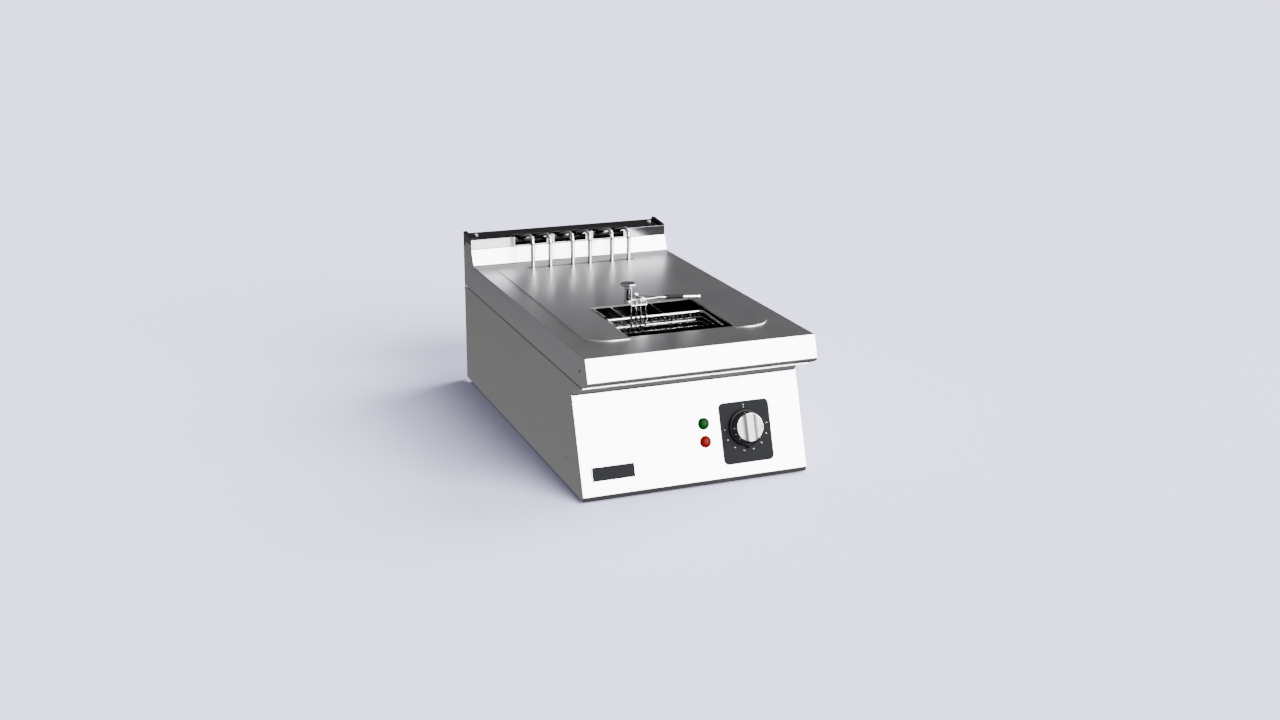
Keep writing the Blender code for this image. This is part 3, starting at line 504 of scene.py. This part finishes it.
def element_side():
    """The leg's line from head to front end, as (d, h) in millimetres."""
    slope = math.radians(16)
    crown = bend(596.0, 287.4, 15.0, 90 - 16, 180)
    head = crown[0] + np.array([66.0, -66.0 * math.tan(slope)])
    parts = [head[None], crown, bend(566.0, 197.0, 15.0, 0, -90)]
    parts += [bend(306.0, 162.0, 20.0, 90, 150), bend(251.0, 132.0, 20.0, -30, -90)]
    return np.concatenate(parts)


def hairpin(middle):
    """The whole centre line of one element, and the sideways direction at each of its points."""
    leg = element_side()
    down = np.insert(leg, 0, middle - LEG_HALF, axis=1)
    back = np.insert(leg[::-1], 0, middle + LEG_HALF, axis=1)
    turn = bend(middle, TURN_D, LEG_HALF, 180, 360, 24)
    turn = np.insert(turn, 2, leg[-1, 1], axis=1)
    line = even(np.concatenate([down, turn, back]), 2.2)
    across = np.stack([line[:, 0] - middle, np.minimum(line[:, 1] - TURN_D, 0), 0 * line[:, 0]], axis=-1)
    return line, across


for number, middle in enumerate((-80.0, 0.0, 80.0)):
    line, across = hairpin(middle)
    points, faces = tube(line, 4.0, across, 18)
    piece(
        f"element_tube_{number + 1}", points, faces, "housing", "element_steel", element_steel,
        [f"heating_element_{number + 1}"],
    )

# %% [markdown]
# ## Post
# A turned and polished post with a mushroom head stands on the worktop behind the well. A lathe makes
# it from one profile, so here too a softened profile is turned about its axis.

# %% post
post_line = soften(
    [(0, 34.2), (13.2, 34.2), (14.2, 33.2), (14.2, 31.2), (12.6, 29.2), (8.4, 27.8), (6.6, 25.0),
     (6.5, 3.2), (8.0, 2.2), (8.0, 0), (0, 0)], 0.9,
)
points, faces = turned(upright_seat(-17.5, 285.0, TOP + PLATE_TOP), post_line, 56)
piece("post_turned", points, faces, "housing", "post_steel", post_steel, ["hanger_post"])

# %% [markdown]
# ## Basket
# The basket is woven wire in a rod frame. The weave is two sets of U-shaped wires and a set of rings,
# each waving in and out by its own thickness from one crossing to the next: a sine along the wire's
# length, pushed along the wall's own outward direction. Thicker wires stiffen it every 28 mm.

# %% basket weave
WEAVE = 8.0
WIRE = 0.45
HALF = 85.4
NEAR, FAR = 103.5, 198.4
FLOOR = 120.8
RIM_HALF, RIM_NEAR, RIM_FAR = 89, 100, 205
RIM_LOW, RIM_HIGH = 235.6, 238.8
UNDER_RIM = 3.0
CORNER = 7.0
STEP = 2.6


def rim_height(d):
    """The rim's own height at the depth d: it falls towards the front."""
    return RIM_LOW + (d - RIM_NEAR) * (RIM_HIGH - RIM_LOW) / (RIM_FAR - RIM_NEAR)


def waved(lines, plane, phase, reach=0.42):
    """Moves each point along (along x plane) by reach sin(pi run / WEAVE + phase), so that it weaves."""
    lines = np.asarray(lines)
    step = np.linalg.norm(np.diff(lines, axis=1), axis=-1)
    run = np.concatenate([np.zeros((len(lines), 1)), np.cumsum(step, axis=1)], axis=1)
    along = np.gradient(lines, axis=1)
    along = along / np.linalg.norm(along, axis=-1, keepdims=True)
    out = np.cross(along, plane)
    push = reach * np.sin(np.pi * run / WEAVE + np.asarray(phase)[:, None])
    return lines + out * push[..., None]


def bent_u(ends, low, highs, radius, step):
    """A U in its own plane as (across, h): down one wall, along the floor and up the other."""
    a, b = ends
    return even(soften([(a, highs[0]), (a, low), (b, low), (b, highs[1])], radius, 6), step)


near_far = (rim_height(NEAR) - UNDER_RIM, rim_height(FAR) - UNDER_RIM)
deep_u = bent_u((NEAR, FAR), FLOOR + 2 * WIRE, near_far, CORNER, STEP)
rows_d = np.arange(NEAR + 5, FAR - 3, WEAVE)
cols_x = np.arange(-HALF + 5.4, HALF - 3, WEAVE)
levels = np.arange(FLOOR + 6, near_far[0], WEAVE)
over = []
for d in rows_d:
    top_h = rim_height(d) - UNDER_RIM
    flat_u = bent_u((-HALF, HALF), FLOOR, (top_h, top_h), CORNER, STEP)
    flat_u = flat_u[np.linspace(0, len(flat_u) - 1, 150).round().astype(int)]
    over.append(np.stack([flat_u[:, 0], np.full(len(flat_u), d), flat_u[:, 1]], -1))
fore = [np.stack([np.full(len(deep_u), x), deep_u[:, 0], deep_u[:, 1]], -1) for x in cols_x]
ring_line = soften(
    [(0, NEAR), (HALF, NEAR), (HALF, FAR), (-HALF, FAR), (-HALF, NEAR), (0, NEAR)], CORNER, 6
)
ring_line = even(ring_line, STEP)[:-1]
rings = [np.insert(ring_line, 2, h, axis=1) for h in levels]
odd = np.pi * (np.arange(40) % 2)
weave = together(
    tube(waved(over, (0, 1, 0), odd[:len(over)]), WIRE, (0, 1, 0), 6),
    tube(waved(fore, (1, 0, 0), odd[:len(fore)]), WIRE, (1, 0, 0), 6),
    tube(waved(rings, (0, 0, 1), odd[:len(rings)]), WIRE, (0, 0, 1), 6, closed=True),
)
stiff_u = bent_u((NEAR + 0.9, FAR - 0.9), FLOOR + 1.6, near_far, 8.0, 6.0)
ribs = [np.stack([np.full(len(stiff_u), x), stiff_u[:, 0], stiff_u[:, 1]], -1) for x in (-56, -28, 28, 56)]
weave = together(weave, tube(ribs, 0.95, (1, 0, 0), 8))
piece("basket_weave", *weave, "basket", "wire_steel", wire_steel, ["basket_mesh"])

# %% [markdown]
# ## Basket rods, bracket and folding handle
# Everything else on the basket is round rod, bent and welded. The rim is a closed loop, a second rod
# runs along the back, and four upright wires carry the pivot of the handle. The handle is two wires
# that close on one stem, with a moulded grip and a bright end sleeve.

# %% basket rods
ROD = 2.3
rim_line = soften(
    [(0, RIM_NEAR), (RIM_HALF, RIM_NEAR), (RIM_HALF, RIM_FAR), (-RIM_HALF, RIM_FAR),
     (-RIM_HALF, RIM_NEAR), (0, RIM_NEAR)], 9.0, 10,
)
rim_line = even(rim_line, 2.5)[:-1]
rim_line = np.column_stack([rim_line, rim_height(rim_line[:, 1])])
piece(
    "basket_rim_rod", *tube(rim_line, ROD, (0, 0, 1), 18, closed=True), "basket", "wire_steel",
    wire_steel, ["basket_rim"],
)


def rod(start, end, radius, sideways, sides=14):
    """A straight rod with its ends rounded: its radius falls as sqrt(1 - t^2) over the last stretch."""
    start, end = np.asarray(start, float), np.asarray(end, float)
    length = np.linalg.norm(end - start)
    t = np.array([1.0, 0.92, 0.7, 0.38, 0.0])
    near = radius * (1 - t)
    run = np.concatenate([near, [length / 2], length - near[::-1]])
    wide = np.maximum(radius * np.sqrt(1 - t ** 2), radius * 0.05)
    wide = np.concatenate([wide, [radius], wide[::-1]])
    line = start + (end - start) / length * run[:, None]
    return tube(line, wide[None], sideways, sides)


piece(
    "basket_back_bar", *rod((-78, RIM_FAR, 223.8), (78, RIM_FAR, 223.8), ROD, (0, 0, 1), 18), "basket",
    "wire_steel", wire_steel, ["basket_back_rod"],
)
PIVOT_X, PIVOT_D, PIVOT_H = PIVOT = (-31.0, 201.0, 275.0)
THIN = 1.4
uprights = [
    rod((PIVOT_X + x, PIVOT_D, 222.3), (PIVOT_X + x, PIVOT_D, 272.4), THIN, (0, 1, 0))
    for x in (-13, -4.33, 4.33, 13)
]
bracket = together(
    *uprights,
    rod((PIVOT_X - 15, PIVOT_D, 271.6), (PIVOT_X + 15, PIVOT_D, 271.6), THIN, (0, 1, 0)),
    rod((PIVOT_X - 15, PIVOT_D - 1.6, 262), (PIVOT_X + 15, PIVOT_D - 1.6, 262), THIN, (0, 1, 0)),
    rod((PIVOT_X, PIVOT_D - 20, PIVOT_H), (PIVOT_X, PIVOT_D + 20, PIVOT_H), 2.0, (0, 0, 1), 18),
)
piece("basket_bracket_wires", *bracket, "basket", "wire_steel", wire_steel, ["basket_bracket"])

# %% folding handle
DROOP = math.radians(4.0)
ALONG = np.array([math.cos(DROOP), 0, -math.sin(DROOP)])
PIVOT_SEAT = seat(place(*PIVOT), ALONG, (0, 1, 0))


def unplaced(points):
    """Points in metres back in the fitter's millimetres."""
    return (points - np.array([0, EDGE_Y, CASING_Z])) / MM


def handle_line(*local):
    """Points given along and across the handle, in the fitter's millimetres."""
    flat_points = np.array([(u, v, 0.0) for u, v in local])
    return unplaced(on(PIVOT_SEAT, flat_points))


handle_parts = []
for sign in (-1, 1):
    turn = PIVOT_SEAT @ np.array(Matrix.Translation((0, sign * 15.5 * MM, 0)))
    turn = turn @ np.array(Matrix.Rotation(math.radians(90), 4, "X"))
    eye = soften([(2.4, 2.5), (4.6, 2.5), (4.6, -2.5), (2.4, -2.5), (2.4, 2.5)], 0.5, 4)
    handle_parts.append(turned(turn, eye, 28))
    wire = soften(handle_line((3.4, sign * 15.5), (40, sign * 2.0), (48, sign * 1.2)), 6.0, 8)
    handle_parts.append(tube(even(wire, 1.5), 1.5, (0, 0, 1), 12))
handle_parts.append(tube(even(handle_line((42, 0), (106, 0)), 5), 1.7, (0, 0, 1), 12))
piece(
    "handle_wires", *together(*handle_parts), "folding_handle", "wire_steel", wire_steel, ["basket_handle"]
)

lengthways = PIVOT_SEAT @ np.array(Matrix.Rotation(math.radians(90), 4, "Y"))
run = np.linspace(49.6, 80.4, 60)
ripple = 3.35 + 0.22 * np.cos((run - 65.0) * 2 * np.pi / 3.4) * (np.abs(run - 65.0) < 12)
grip_line = [(2.1, 49.0), (2.9, 49.0)] + list(zip(ripple, run)) + [(2.9, 81.0), (2.1, 81.0), (2.1, 49.0)]
piece(
    "grip_moulded", *turned(lengthways, grip_line, 24), "folding_handle", "black_plastic",
    black_plastic, ["handle_grip"],
)
sleeve_line = soften(
    [(0, 114), (2.2, 114), (3.0, 112.6), (3.0, 82.2), (2.7, 81.3), (2.1, 81.3), (2.1, 108), (0, 108)], 0.5, 4
)
piece(
    "sleeve_polished", *turned(lengthways, sleeve_line, 24), "folding_handle", "wire_steel",
    post_steel, ["handle_sleeve"],
)

# %% [markdown]
# ## Tank rack
# A rack of straight wires in a round-cornered ring keeps the basket off the elements.

# %% tank rack
RACK_H = 118.1
RACK_WIRE = 1.7
rack_line = soften([(0, 98), (84, 98), (84, 226), (-84, 226), (-84, 98), (0, 98)], 8.0, 8)
rack_line = np.insert(even(rack_line, 3.0)[:-1], 2, RACK_H, axis=1)
bars = [[(x, 98, RACK_H), (x, 162, RACK_H), (x, 226, RACK_H)] for x in np.linspace(-63, 63, 7)]
rack = together(
    tube(rack_line, RACK_WIRE, (0, 0, 1), 12, closed=True), tube(bars, RACK_WIRE, (0, 0, 1), 12)
)
piece("tank_rack", *rack, "housing", "wire_steel", wire_steel, ["tank_grid"])

# %% [markdown]
# ## Thermostat knob
# The knob is a shallow cup with a grip ridge left standing between two scooped halves. Its face is a
# height over a disc: the lower of a flat and of two wide cylinders cut from it, blended at the edges.
# Below the face the grid runs on down the side and under, so one grid closes the whole knob. Face and
# side are different finishes, so the faces take one of two materials by their row.

# %% knob
KNOB = panel_seat(96.0, 79.0)


def lower_of(a, b, soft):
    """The smaller of two heights with a rounded change-over: ordinary minimum minus a small fillet."""
    near = np.clip(0.5 + 0.5 * (b - a) / soft, 0, 1)
    return b * (1 - near) + a * near - soft * near * (1 - near)


def face_height(u):
    """Flat top at 22.8 mm, cut by cylinders of radius 22 whose axes run up the knob at u = +-17."""
    reach = np.clip(22.0 ** 2 - (np.abs(u) - 17.0) ** 2, 1, None)
    return lower_of(22.8, 42.0 - np.sqrt(reach), 0.9)


steps = 120
FACE_R, ROUND, FOOT_R = 22.8, 1.1, 27.2
angle = np.linspace(0, 2 * np.pi, steps, endpoint=False)
face_r = np.linspace(0, FACE_R, 34)[:, None]
face_u = face_r * np.cos(angle)
face_w = face_height(face_u)
edge_w = face_w[-1]
face_rows = np.stack([face_u, face_r * np.sin(angle), face_w], axis=-1)
down = np.linspace(0, 1, 10)[:, None]
corner_t = np.radians(np.linspace(15, 90, 5))[:, None]
corner_r = FACE_R + ROUND * np.sin(corner_t)
corner_rows = np.stack([
    corner_r * np.cos(angle), corner_r * np.sin(angle), edge_w - ROUND * (1 - np.cos(corner_t)),
], axis=-1)
side_r = (FACE_R + ROUND) * (1 - down) + FOOT_R * down
side_rows = np.stack([
    side_r * np.cos(angle), side_r * np.sin(angle), (edge_w - ROUND) * (1 - down) + 5.6 * down
], axis=-1)
under = np.array([(FOOT_R, 5.3), (23.7, 5.3), (23.7, 2.4), (4.2, 2.4), (4.2, 15.0), (0.0, 15.0)])[:, :, None]
under_rows = np.stack([
    under[:, 0] * np.cos(angle), under[:, 0] * np.sin(angle), under[:, 1] + 0 * angle
], axis=-1)
knob_rows = np.concatenate([face_rows, corner_rows, side_rows[1:], under_rows])
knob = piece(
    "knob_body", on(KNOB, knob_rows), grid_faces(1, len(knob_rows), steps, False, False),
    "control_knob", "knob_chrome", chrome, ["knob"], 50,
)
knob.data.materials.append(satin_face)
centres = np.zeros(len(knob.data.polygons) * 3)
knob.data.polygons.foreach_get("center", centres)
local = (centres.reshape(-1, 3) - KNOB[:3, 3]) @ KNOB[:3, :3] / MM
is_face = (local[:, 2] > 18) & (np.hypot(local[:, 0], local[:, 1]) < FACE_R - 0.1)
knob.data.polygons.foreach_set("material_index", is_face.astype(np.int32))

# %% [markdown]
# ## Knob skirt
# The skirt is a moulded black ring with a pointer lug. The lug is the same ring whose radius grows
# by 4 mm within a few degrees of straight down.

# %% skirt
def lug(a, r, z):
    """Radius plus a bump of 4.1 mm centred at -90 degrees, only on the outer wall."""
    off = np.abs(np.angle(np.exp(1j * (a + np.pi / 2))))
    bump = np.clip(1 - (off / 0.16) ** 2, 0, 1)
    return r + 4.1 * bump * (r > 29)


skirt_line = soften([(24, 5), (27.5, 5), (30.6, 4.4), (31.3, 2.6), (31.1, 1.8), (24, 1.8), (24, 5)], 0.5, 4)
piece(
    "skirt_moulded", *turned(KNOB, skirt_line, 180, lug), "control_knob", "black_plastic",
    skirt_plastic, ["knob_skirt"],
)

# %% [markdown]
# ## Dial printing
# The plate carries plain temperature numbers round the lower side of the knob and two dots at the top.
# They are printed, so each is a text turned to a very thin mesh lying on the plate.

# %% dial printing
def printed(words, size_mm, matrix, x_mm, y_mm):
    """A text as a thin mesh on a seat, centred at (x, y) millimetres."""
    font = bpy.data.curves.new("print", "FONT")
    font.body = words
    font.size = size_mm * MM
    font.extrude = 0.03 * MM
    font.align_x = "CENTER"
    font.align_y = "CENTER"
    font.resolution_u = 3
    holder = bpy.data.objects.new("print", font)
    bpy.context.scene.collection.objects.link(holder)
    bpy.context.view_layer.update()
    mesh = bpy.data.meshes.new_from_object(holder.evaluated_get(bpy.context.evaluated_depsgraph_get()))
    points = np.zeros(len(mesh.vertices) * 3)
    mesh.vertices.foreach_get("co", points)
    points = points.reshape(-1, 3) / MM + np.array([x_mm, y_mm, 0])
    faces = [list(p.vertices) for p in mesh.polygons]
    bpy.data.objects.remove(holder, do_unlink=True)
    return on(matrix, points), faces


PLATE_FACE = 1.35
dial_face = KNOB @ np.array(Matrix.Translation((0, 0, PLATE_FACE * MM)))
marks = []
for i, words in enumerate(("60", "80", "100", "120", "140", "160", "180", "190")):
    a = math.radians(180 + 26.4 * i)
    marks.append(printed(words, 2.1, dial_face, 38.6 * math.cos(a), 38.6 * math.sin(a)))
for reach, radius in ((38.2, 0.75), (34.4, 0.55)):
    spot = dial_face @ np.array(Matrix.Translation((0, reach * MM, 0)))
    marks.append(turned(spot, [(0, 0.03), (radius, 0.03), (radius, -0.03), (0, -0.03)], 16))
piece("dial_numbers", *together(*marks), "housing", "plate_black", ink)

# %% [markdown]
# ## Nameplate frame
# The plain nameplate sits in a thin bright frame, a rectangle of fine half-round strip.

# %% nameplate frame
def loop(matrix, half_u, half_v, radius, wide, high, base):
    """A rectangular loop of strip on a seat: its cross-section is wide by high, rounded on top."""
    line = soften([(0, -half_v), (half_u, -half_v), (half_u, half_v), (-half_u, half_v),
                   (-half_u, -half_v), (0, -half_v)], radius, 5)
    line = line[:-1]
    along = np.roll(line, -1, axis=0) - np.roll(line, 1, axis=0)
    along = along / np.linalg.norm(along, axis=1, keepdims=True)
    out = np.stack([along[:, 1], -along[:, 0]], axis=-1)
    section = np.array([(-0.5, 0), (-0.5, 0.7), (-0.25, 1.0), (0.25, 1.0), (0.5, 0.7), (0.5, 0)])
    flat_points = line[:, None] + out[:, None] * section[None, :, :1] * wide
    lift = np.broadcast_to(base + section[:, 1] * high, flat_points.shape[:2])
    points = on(matrix, np.concatenate([flat_points, lift[..., None]], axis=-1))
    return points.reshape(-1, 3), grid_faces(1, len(line), len(section), True, False)


NAME = panel_seat(-144.5, 34.8)
piece(
    "nameplate_frame", *loop(NAME, 36.8, 11.6, 1.0, 0.9, 0.35, 1.3), "housing", "plate_black", chrome,
)

# %% [markdown]
# ## Lamp caps
# Each lamp is a small moulded cap: a flat rim, a dome, and fine rings inside that break up the light.
# A cosine ripple on the dome's height gives those rings.

# %% lamp caps
def cap_line():
    """Dome height 0.9 + 4 (1 - (r / 9.4)^2.4) with rings 1.8 mm apart, then its rim and its stub."""
    r = np.linspace(0, 8.7, 48)
    height = 0.9 + 4.0 * (1 - (r / 9.4) ** 2.4) + 0.07 * np.cos(r * 2 * np.pi / 1.8)
    rim = [(9.6, 1.1), (10.0, 0.85), (10.1, 0.35), (5.6, 0.3), (5.6, -1.2), (0, -1.2)]
    return np.concatenate([np.stack([r, height], axis=-1), rim])


for tag, spot, finish in (("green", (21.5, 93.9), green_cap), ("red", (21.5, 63.9), red_cap)):
    piece(
        f"lamp_cap_{tag}", *turned(panel_seat(*spot), cap_line(), 40), "housing", tag + "_lens", finish,
        ["lamp_lens_" + tag],
    )

# %% [markdown]
# ## Screws
# The cover's two screws are pan heads with a cross recess. A head is a height over a disc, less a
# cross-shaped dip. The side screws are sunk flush with the same cross.

# %% screws
def screw(matrix, radius, crown, low, cross):
    """Pan head: crown (1 - (r / radius)^3) high, with a cross cut where min(|u|, |v|) is small."""
    a = np.linspace(0, 2 * np.pi, 72, endpoint=False)
    r = np.linspace(0, radius * 0.96, 26)[:, None]
    u, v = r * np.cos(a), r * np.sin(a)
    inside = np.clip((cross * 0.22 - np.minimum(np.abs(u), np.abs(v))) / 0.12, 0, 1)
    inside = inside * np.clip((cross - r) / 0.2, 0, 1)
    top = low + crown * (1 - (r / radius) ** 3 * 0.45) - 0.55 * crown * inside
    head = np.stack([u, v, top], axis=-1)
    wall = np.array([(radius, low + crown * 0.35), (radius, low), (0.0, low)])[:, :, None]
    wall = np.stack([wall[:, 0] * np.cos(a), wall[:, 0] * np.sin(a), wall[:, 1] + 0 * a], axis=-1)
    rows = np.concatenate([head, wall])
    return on(matrix, rows).reshape(-1, 3), grid_faces(1, len(rows), len(a), False, False)


COVER_FRONT, COVER_BACK = (649.4, 290.2), (702.4, 292.6)
COVER_SLOPE = math.atan2(COVER_BACK[1] - COVER_FRONT[1], COVER_BACK[0] - COVER_FRONT[0])
SCREW_D = 681.0
for tag, sign in (("left", -1), ("right", 1)):
    rise = (SCREW_D - COVER_FRONT[0]) * math.tan(COVER_SLOPE)
    base = place(sign * 180.0, SCREW_D, COVER_FRONT[1] + rise)
    top_seat = seat(base, (1, 0, 0), (0, math.cos(COVER_SLOPE), math.sin(COVER_SLOPE)))
    piece(
        "cover_screw_head_" + tag, *screw(top_seat, 4.0, 2.2, 0.35, 2.4), "housing",
        "galvanised_steel", galvanised, ["cover_screw_" + tag],
    )
    flank = seat(place(sign * 198.8, 91.0, 47.5), (0, sign, 0), (0, 0, 1))
    piece(
        "side_screw_head_" + tag, *screw(flank, 3.0, 1.0, 0.0, 1.9), "housing", "galvanised_steel",
        wire_steel, ["side_screw_" + tag],
    )

# %% [markdown]
# ## Feet, gland, stud and reset button
# Low rubber feet, turned. At the back are the cable gland with its ribbed dome nut, the bonding stud
# with its hexagon, and the reset button of the safety thermostat. Ribs and hexagons are a turned
# profile whose radius changes round the turn.

# %% feet
for number, (x, d) in enumerate(((-160, 70), (160, 70), (-160, 630), (160, 630))):
    foot = soften([(0, -0.3), (14, -0.3), (15.5, -3.8), (14.6, -5), (9, -5), (8.4, -4.4), (0, -4.4)], 0.6, 4)
    piece(
        f"foot_pad_{number + 1}", *turned(upright_seat(x, d, 0), foot, 40), "housing", "foot_rubber",
        rubber, [f"foot_{number + 1}"],
    )

# %% gland, nut, stud and button
def hexagon(a, r, z):
    """Radius to a hexagon's flats: r cos(30 deg) / cos(a within its sixth)."""
    sixth = np.abs((a % (np.pi / 3)) - np.pi / 6)
    return r * math.cos(np.pi / 6) / np.cos(np.pi / 6 - sixth)


def ribbed(a, r, z):
    """Fine grip ribs on the flange only."""
    return r + 0.35 * np.cos(24 * a) * (r > 11.5)


gland_seat = rear_seat(140.0, 684.0, 42.0)
gland_line = soften(
    [(0, 9.0), (4.2, 9.0), (4.2, 15.5), (6.2, 15.5), (8.6, 12.5), (9.4, 8.0), (9.4, 6.2), (12.6, 6.0),
     (12.6, 1.6), (10, 1.6), (10, -12), (0, -12)], 0.5, 4,
)
piece(
    "gland_dome", *turned(gland_seat, gland_line, 144, ribbed), "housing", "black_plastic",
    black_plastic, ["cable_gland"],
)
STUD_THREAD = 4.0
stud_line = soften(
    [(0, 13), (2.2, 13), (3, 12.2), (3, 5.5), (5.9, 5.5), (5.9, 1.6), (0, 1.6)], 0.25, 3
)


def hexagon_collar(a, r, z):
    """The hexagon only on the collar, wider than the stud's own thread."""
    return np.where(r > STUD_THREAD, hexagon(a, r, z), r)


piece(
    "stud_turned", *turned(rear_seat(172.0, 684.0, 42.0), stud_line, 72, hexagon_collar),
    "housing", "brass", brass, ["bonding_stud"],
)
button_line = soften([(0, 5.0), (2.4, 5.0), (3.0, 4.3), (3.0, -3.5), (0, -3.5)], 0.4, 4)
piece(
    "reset_cap", *turned(rear_seat(-60.0, 683.6, 62.0), button_line, 32), "reset", "red_plastic",
    red_plastic, ["reset_button"],
)

# %% [markdown]
# ## Pieces kept from the CAD
# Flat panels, the tank, the base and what is inside the casing already have their right shape, so
# they only take a finish.

# %% finishes for kept pieces
KEPT = {
    side_steel: ("side_panel_left", "side_panel_right"),
    panel_steel: ("front_rail",),
    well_steel_painted_shade: ("oil_tank",),
    galvanised: ("base_plate", "rear_panel", "knob_spindle"),
    enamel: ("element_plate",),
    ceramic: ("element_terminal_1", "element_terminal_2", "element_terminal_3"),
    black_plastic: ("gland_nut", "thermostat", "safety_thermostat"),
    pale_plastic: ("lamp_holder_green", "lamp_holder_red", "contactor", "terminal_block"),
    wire_steel: ("thermostat_bulb",),
    brass: ("bulb_gland",),
    copper: ("thermostat_capillary",),
}
for finish, names in KEPT.items():
    for name in names:
        data = NODES[name].data
        data.materials.clear()
        data.materials.append(finish)
left = [n for n, o in NODES.items() if not o.hide_render and n not in sum(KEPT.values(), ())]
print("nodes without a finish:", left)

# %% [markdown]
# ## Floor, light and camera
# A pale floor fills the view. Two wide, far lamps light it, so that nothing falls off across the floor.
# One stands in front on the right, low, just where the leaning panel and the nose mirror it: those
# faces turn near white. The other stands to the right and gives the soft shadow on the left. The room
# is a ramp of greys from below to above: dark at eye level behind, which the worktop mirrors and so
# stays grey. The floor is hidden from mirror rays, or the sides would turn as pale as the floor.

# %% floor
floor_mesh = bpy.data.meshes.new("floor")
floor_mesh.from_pydata([(-40, -40, 0), (40, -40, 0), (40, 40, 0), (-40, 40, 0)], [], [(0, 1, 2, 3)])
floor_mesh.materials.append(
    surface("floor_card", ("cdcbec", "cecced"), (0.85, 0.9), 0.0, 900, (400, 400, 400), 0.0)
)
floor = bpy.data.objects.new("floor", floor_mesh)
bpy.context.scene.collection.objects.link(floor)
floor.visible_glossy = False

# %% lights
def aim(item, place_at, target):
    """Stands a lamp or camera at a place and points its -Z at the target."""
    item.location = place_at
    item.rotation_mode = "QUATERNION"
    item.rotation_quaternion = (Vector(target) - Vector(place_at)).to_track_quat("-Z", "Y")


def distant(name, azimuth, elevation, wide, strength):
    """A far lamp that fills a disc wide degrees across, azimuth degrees right of straight in front."""
    lamp = bpy.data.lights.new(name, "SUN")
    lamp.angle = math.radians(wide)
    lamp.energy = strength
    made = bpy.data.objects.new(name, lamp)
    bpy.context.scene.collection.objects.link(made)
    a, e = math.radians(azimuth), math.radians(elevation)
    out = Vector((math.sin(a) * math.cos(e), -math.cos(a) * math.cos(e), math.sin(e)))
    aim(made, out * 5, (0, 0, 0))
    return made


distant("front_window", 28, 24, 50, 15.0)
distant("right_window", 97, 36, 40, 6.5)
world = bpy.data.worlds.new("studio")
bpy.context.scene.world = world
world.use_nodes = True
room = world.node_tree
facing = add(room, "TexCoord")
height = add(room, "SeparateXYZ", None, {0: (facing, "Generated")})
level = add(room, "MapRange", {1: -1.0, 2: 1.0}, {0: (height, "Z")})
walls = add(room, "ValToRGB", None, {0: (level, 0)})
stops = walls.color_ramp.elements
greys = ((0.0, 0.25), (0.28, 0.36), (0.36, 0.36), (0.42, 0.22), (0.5, 0.13), (0.68, 0.14), (1.0, 0.6))
while len(stops) < len(greys):
    stops.new(0.5)
for stop, (at, grey) in zip(stops, greys):
    stop.position = at
    stop.color = (grey, grey, grey * 1.03, 1)
room.links.new(walls.outputs[0], room.nodes["Background"].inputs["Color"])

# %% camera
YAW, PITCH, ROLL = -0.377936, 0.304162, 0.006728
forward = Vector((-math.sin(YAW) * math.cos(PITCH), math.cos(YAW) * math.cos(PITCH), -math.sin(PITCH)))
right = Vector((math.cos(YAW), math.sin(YAW), 0))
up = right.cross(forward)
right, up = right * math.cos(ROLL) + up * math.sin(ROLL), up * math.cos(ROLL) - right * math.sin(ROLL)
view = bpy.data.cameras.new("camera")
view.sensor_width = 36
view.lens = 43.37
view.clip_end = 60
camera = bpy.data.objects.new("camera", view)
bpy.context.scene.collection.objects.link(camera)
turn = Matrix((right, up, -forward)).transposed().to_4x4()
camera.matrix_world = Matrix.Translation((-0.96042, -2.49224, 0.96170)) @ turn
bpy.context.scene.camera = camera
print("camera looks down", round(math.degrees(PITCH), 2), "degrees")
